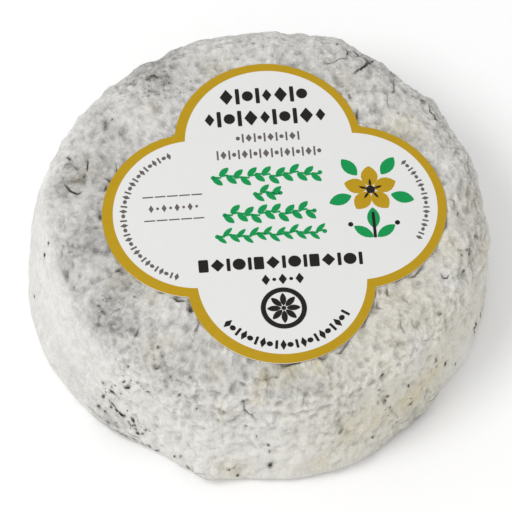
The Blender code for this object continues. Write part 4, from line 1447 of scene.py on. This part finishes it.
# %% Flat shapes
def flat_shape(name, corners, rounding=0.0, pointed=0.0, hole=0.0):
    """A flat shape a millimetre across: rounded corners, ends drawn to points, or a hole in the middle."""
    bpy.ops.mesh.primitive_circle_add(vertices=corners, radius=0.5 * MM, fill_type="NGON")
    shape = settle(bpy.context.active_object, name)
    pick(shape, "FACE", lambda face: True)
    if corners == 4 and not pointed:
        bpy.ops.mesh.bevel(offset=rounding * MM, segments=3, affect="VERTICES")
    if hole:
        bpy.ops.mesh.inset(thickness=(1 - hole) / 2 * MM)
        bpy.ops.mesh.delete(type="FACE")
    bpy.ops.object.mode_set(mode="OBJECT")
    if pointed:
        for vertex in shape.data.vertices:
            vertex.co.y *= (1 - min(1.0, abs(vertex.co.x) / (0.5 * MM)) ** 2) ** pointed
    return shape


shapes = {
    "disc": flat_shape("disc", 20),
    "lozenge": flat_shape("lozenge", 4, rounding=0.05),
    "leaf": flat_shape("leaf", 16, pointed=0.35),
    "ring": flat_shape("ring", 40, hole=0.78),
}
bar = flat_shape("bar", 4, rounding=0.08)
pick(bar, "FACE", lambda face: True)
bpy.ops.transform.rotate(value=math.pi / 4, orient_axis="Z", center_override=(0, 0, 0))
bpy.ops.transform.resize(value=(math.sqrt(2), math.sqrt(2), 1), center_override=(0, 0, 0))
bpy.ops.object.mode_set(mode="OBJECT")
shapes["bar"] = bar
print("shapes:", ", ".join(shapes))


# %% Stamp a shape on the label
stamped = {"black": [], "green": [], "grey": [], "ochre": []}


def stamp(ink, shape, x, y, width, height, turn=0.0):
    """Copies a shape to a place on the label, all in mm from its middle, turned by degrees."""
    copy = shapes[shape].copy()
    copy.data = shapes[shape].data.copy()
    bpy.context.collection.objects.link(copy)
    copy.location = Vector((label_middle[0] + x, label_middle[1] + y, 0)) * MM
    copy.rotation_euler = (0, 0, math.radians(turn))
    copy.scale = (width, height, 1)
    stamped[ink].append(copy)


# %% [markdown]
# ## Rows of ornament
# The middle of the label carries straight rows. The heavy rows are black lozenges, discs and bars, the
# light ones are small grey dots, bars and lozenges, and between them run green garlands of leaves. A row is
# built from a repeat, which is stepped along until it fills the row's width.


# %% Straight rows
def row(ink, x, y, width, height, repeat, gap):
    """Fills a width with a repeat of shapes, each given as a name, its width and its share of the height."""
    marks = []
    at = 0.0
    while at < width - gap:
        name, wide, share = repeat[len(marks) % len(repeat)]
        marks.append((name, at + wide / 2, wide, share))
        at += wide + gap
    squeeze = width / (at - gap)
    for name, along, wide, share in marks:
        stamp(ink, name, x + along * squeeze - width / 2, y, wide * squeeze, height * share)


THIN = ("bar", 0.8, 1.0)
HEAVY = (("lozenge", 2.6, 1.0), THIN, ("disc", 2.2, 0.65), THIN, ("lozenge", 1.9, 0.8))
BROAD = (("bar", 1.9, 1.0), ("lozenge", 2.6, 1.0), ("bar", 0.7, 1.0), ("disc", 2.5, 0.9), ("bar", 0.7, 1.0))
LIGHT = (("disc", 0.8, 0.4), ("bar", 0.35, 0.9), ("lozenge", 1.2, 0.8), ("bar", 0.35, 0.9))
SMALL = (("lozenge", 1.5, 1.0), ("disc", 0.7, 0.3))
row("black", 0.0, 25.9, 17.0, 3.5, HEAVY, 0.5)
row("black", -0.1, 20.9, 23.4, 3.5, HEAVY[::-1], 0.5)
row("grey", 0.0, 16.4, 12.3, 2.2, LIGHT, 0.35)
row("grey", 0.0, 12.8, 20.2, 2.3, LIGHT[::-1], 0.35)
row("black", 0.2, -11.3, 31.4, 2.7, BROAD, 0.45)
row("black", 0.3, -15.0, 8.1, 2.3, SMALL, 0.4)
print("marks in the rows:", {ink: len(copies) for ink, copies in stamped.items()})


# %% Garlands of leaves
def garland(x, y, width, height, leaves):
    """A green garland: leaves that branch to both sides of a stem, with a bud at each end."""
    step = width / leaves
    for index in range(leaves):
        along = x + (index + 0.5) * step - width / 2
        side = 1 if index % 2 else -1
        sway = y + 0.1 * height * math.sin(index * 1.3)
        stamp("green", "leaf", along, sway + side * 0.26 * height, 2.6, 0.36 * height, side * 42)
        stamp("green", "bar", along, sway, step * 1.15, 0.4, 8 * side)
    for end in (-1, 1):
        stamp("green", "disc", x + end * (width / 2 + 0.1), y, 0.9, 0.9)


garland(-0.9, 7.9, 20.4, 3.4, 15)
garland(-1.0, 3.8, 4.6, 3.1, 4)
garland(-1.0, -0.5, 17.0, 3.5, 13)
garland(-1.1, -5.1, 20.4, 2.6, 16)
print("marks in the garlands:", len(stamped["green"]))

# %% [markdown]
# ## Beads, rosette and blossom
# Strings of small beads follow the round of the lobes. A rosette with petals sits in the front lobe, a
# blossom with leaves in the right one, and a light frame of fine lines in the left one.


# %% Beads round the lobes
def beads(ink, x, y, radius, first, last, count, size):
    """A string of beads and lozenges on an arc, its angles in degrees."""
    for index in range(count):
        angle = math.radians(first + (last - first) * index / (count - 1))
        name, height = (("lozenge", 1.5 * size), ("disc", 0.7 * size), ("bar", 1.2 * size))[index % 3]
        turn = math.degrees(angle) - 90
        wide = 0.35 * size if name == "bar" else size * 0.8
        stamp(ink, name, x + radius * math.cos(angle), y + radius * math.sin(angle), wide, height, turn)


beads("grey", -LOBE_OFFSET, 0, 14.0, 108, 250, 34, 1.1)
beads("grey", LOBE_OFFSET, 0, 14.2, 41, -31, 19, 1.0)
beads("black", 0, -LOBE_OFFSET, 14.0, 219, 326, 21, 1.5)
print("marks so far:", sum(len(copies) for copies in stamped.values()))


# %% Rosette, frame and blossom
def petals(ink, x, y, count, radius, width, height, first=90.0):
    """Petals set evenly round a middle, each pointing outwards."""
    for index in range(count):
        turn = first + 360 * index / count
        angle = math.radians(turn)
        stamp(ink, "leaf", x + radius * math.cos(angle), y + radius * math.sin(angle), width, height, turn)


stamp("black", "ring", 0.0, -21.2, 8.8, 8.8)
petals("black", 0.0, -21.2, 8, 1.85, 2.7, 1.2)
stamp("black", "disc", 0.0, -21.2, 0.9, 0.9)
for height in (-2.6, 2.6):
    row("grey", -19.3, 1.9 + height, 11.5, 0.28, (("bar", 2.4, 1.0),), 0.3)
row("grey", -19.3, 1.9, 9.5, 1.7, (("lozenge", 0.9, 1.0), ("disc", 0.5, 0.35)), 0.45)
BLOSSOM = (18.8, 3.6)
petals("ochre", *BLOSSOM, 5, 2.9, 4.6, 3.3)
petals("green", *BLOSSOM, 5, 6.3, 4.6, 2.5, 126)
petals("black", *BLOSSOM, 5, 1.5, 1.7, 0.5)
stamp("black", "disc", *BLOSSOM, 1.7, 1.7)
stamp("black", "bar", 18.8, -4.2, 0.6, 5.6)
for x, turn in ((16.7, 145), (21.0, 35)):
    stamp("green", "leaf", x, -5.6, 4.4, 2.0, turn)
for x in (14.3, 23.3):
    stamp("black", "disc", x, -3.9, 1.0, 1.0)
print("marks in all:", {ink: len(copies) for ink, copies in stamped.items()})

# %% [markdown]
# ## Printing the label
# Ink is a film of a few thousandths of a millimetre. Here it is a few hundredths thick, which still doesn't
# show as a step, because faces that lie any closer would flicker through each other. As mesh it keeps its
# edge clean from near. All shapes of a colour are joined, every corner is dropped on the paper by a ray
# from above, so that the print follows the waves of the sheet, and Solidify gives the film its thickness.

# %% Press the inks on the paper
INK = 0.02                      # mm that an ink stands above the paper, and as much below
LAYERS = {"ochre": 1.0, "green": 1.3, "grey": 1.0, "black": 1.8}      # the black is printed last, on top
label_tree = BVHTree.FromObject(label, bpy.context.evaluated_depsgraph_get())
prints = {}
for ink, copies in stamped.items():
    printed = join(copies, ink + "_print")
    for vertex in printed.data.vertices:
        hit = label_tree.ray_cast(Vector((vertex.co.x, vertex.co.y, 0.1)), Vector((0, 0, -1)))[0]
        vertex.co.z = hit.z + INK * LAYERS[ink] * MM
    modify(printed, "SOLIDIFY", thickness=2 * INK * MM, offset=-1)
    printed.data.materials.append(inks[ink])
    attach(printed, "root")
    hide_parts("paper_label")
    prints[ink] = printed
for shape in shapes.values():
    bpy.data.objects.remove(shape)
print("print:", {ink: len(piece.data.polygons) for ink, piece in prints.items()})

# %% [markdown]
# ## Floor and light
# The cheese was photographed in soft, even light on a white ground. A white card makes the floor, a white
# world fills in from all around, and one wide lamp high at the left gives the wrinkles their shade.

# %% Lay the floor
bpy.ops.mesh.primitive_plane_add(size=4.0, location=(0, 0, 0))
floor = settle(bpy.context.active_object, "floor")
card, card_shader = new_material("white_card")
card_shader.inputs["Base Color"].default_value = colour("#fdfdfd")
card_shader.inputs["Roughness"].default_value = 0.9
card_shader.inputs["Specular IOR Level"].default_value = 0.0
floor.data.materials.append(card)
print("floor:", [round(size, 1) for size in floor.dimensions[:2]], "m")

# %% Set the world and the lamp
WORLD_STRENGTH = 0.75
LAMP_AZIMUTH = math.radians(-70)
LAMP_ELEVATION = math.radians(58)
LAMP_DISTANCE = 0.8             # m
LAMP_WIDTH = 0.4                # m
LAMP_POWER = 2.4                # W
world = bpy.data.worlds.new("studio")
world.use_nodes = True
background = world.node_tree.nodes["Background"]
background.inputs["Color"].default_value = (1, 1, 1, 1)
background.inputs["Strength"].default_value = WORLD_STRENGTH
bpy.context.scene.world = world
bpy.context.scene.view_settings.view_transform = "Standard"
lamp_place = towards(LAMP_AZIMUTH, LAMP_ELEVATION) * LAMP_DISTANCE
bpy.ops.object.light_add(type="AREA", location=lamp_place)
lamp = bpy.context.active_object
lamp.name = "overhead"
lamp.data.shape = "DISK"
lamp.data.size = LAMP_WIDTH
lamp.data.energy = LAMP_POWER
lamp.rotation_euler = (-lamp_place).to_track_quat("-Z", "Y").to_euler()
print("lamp at", [round(c, 2) for c in lamp.location], "m")
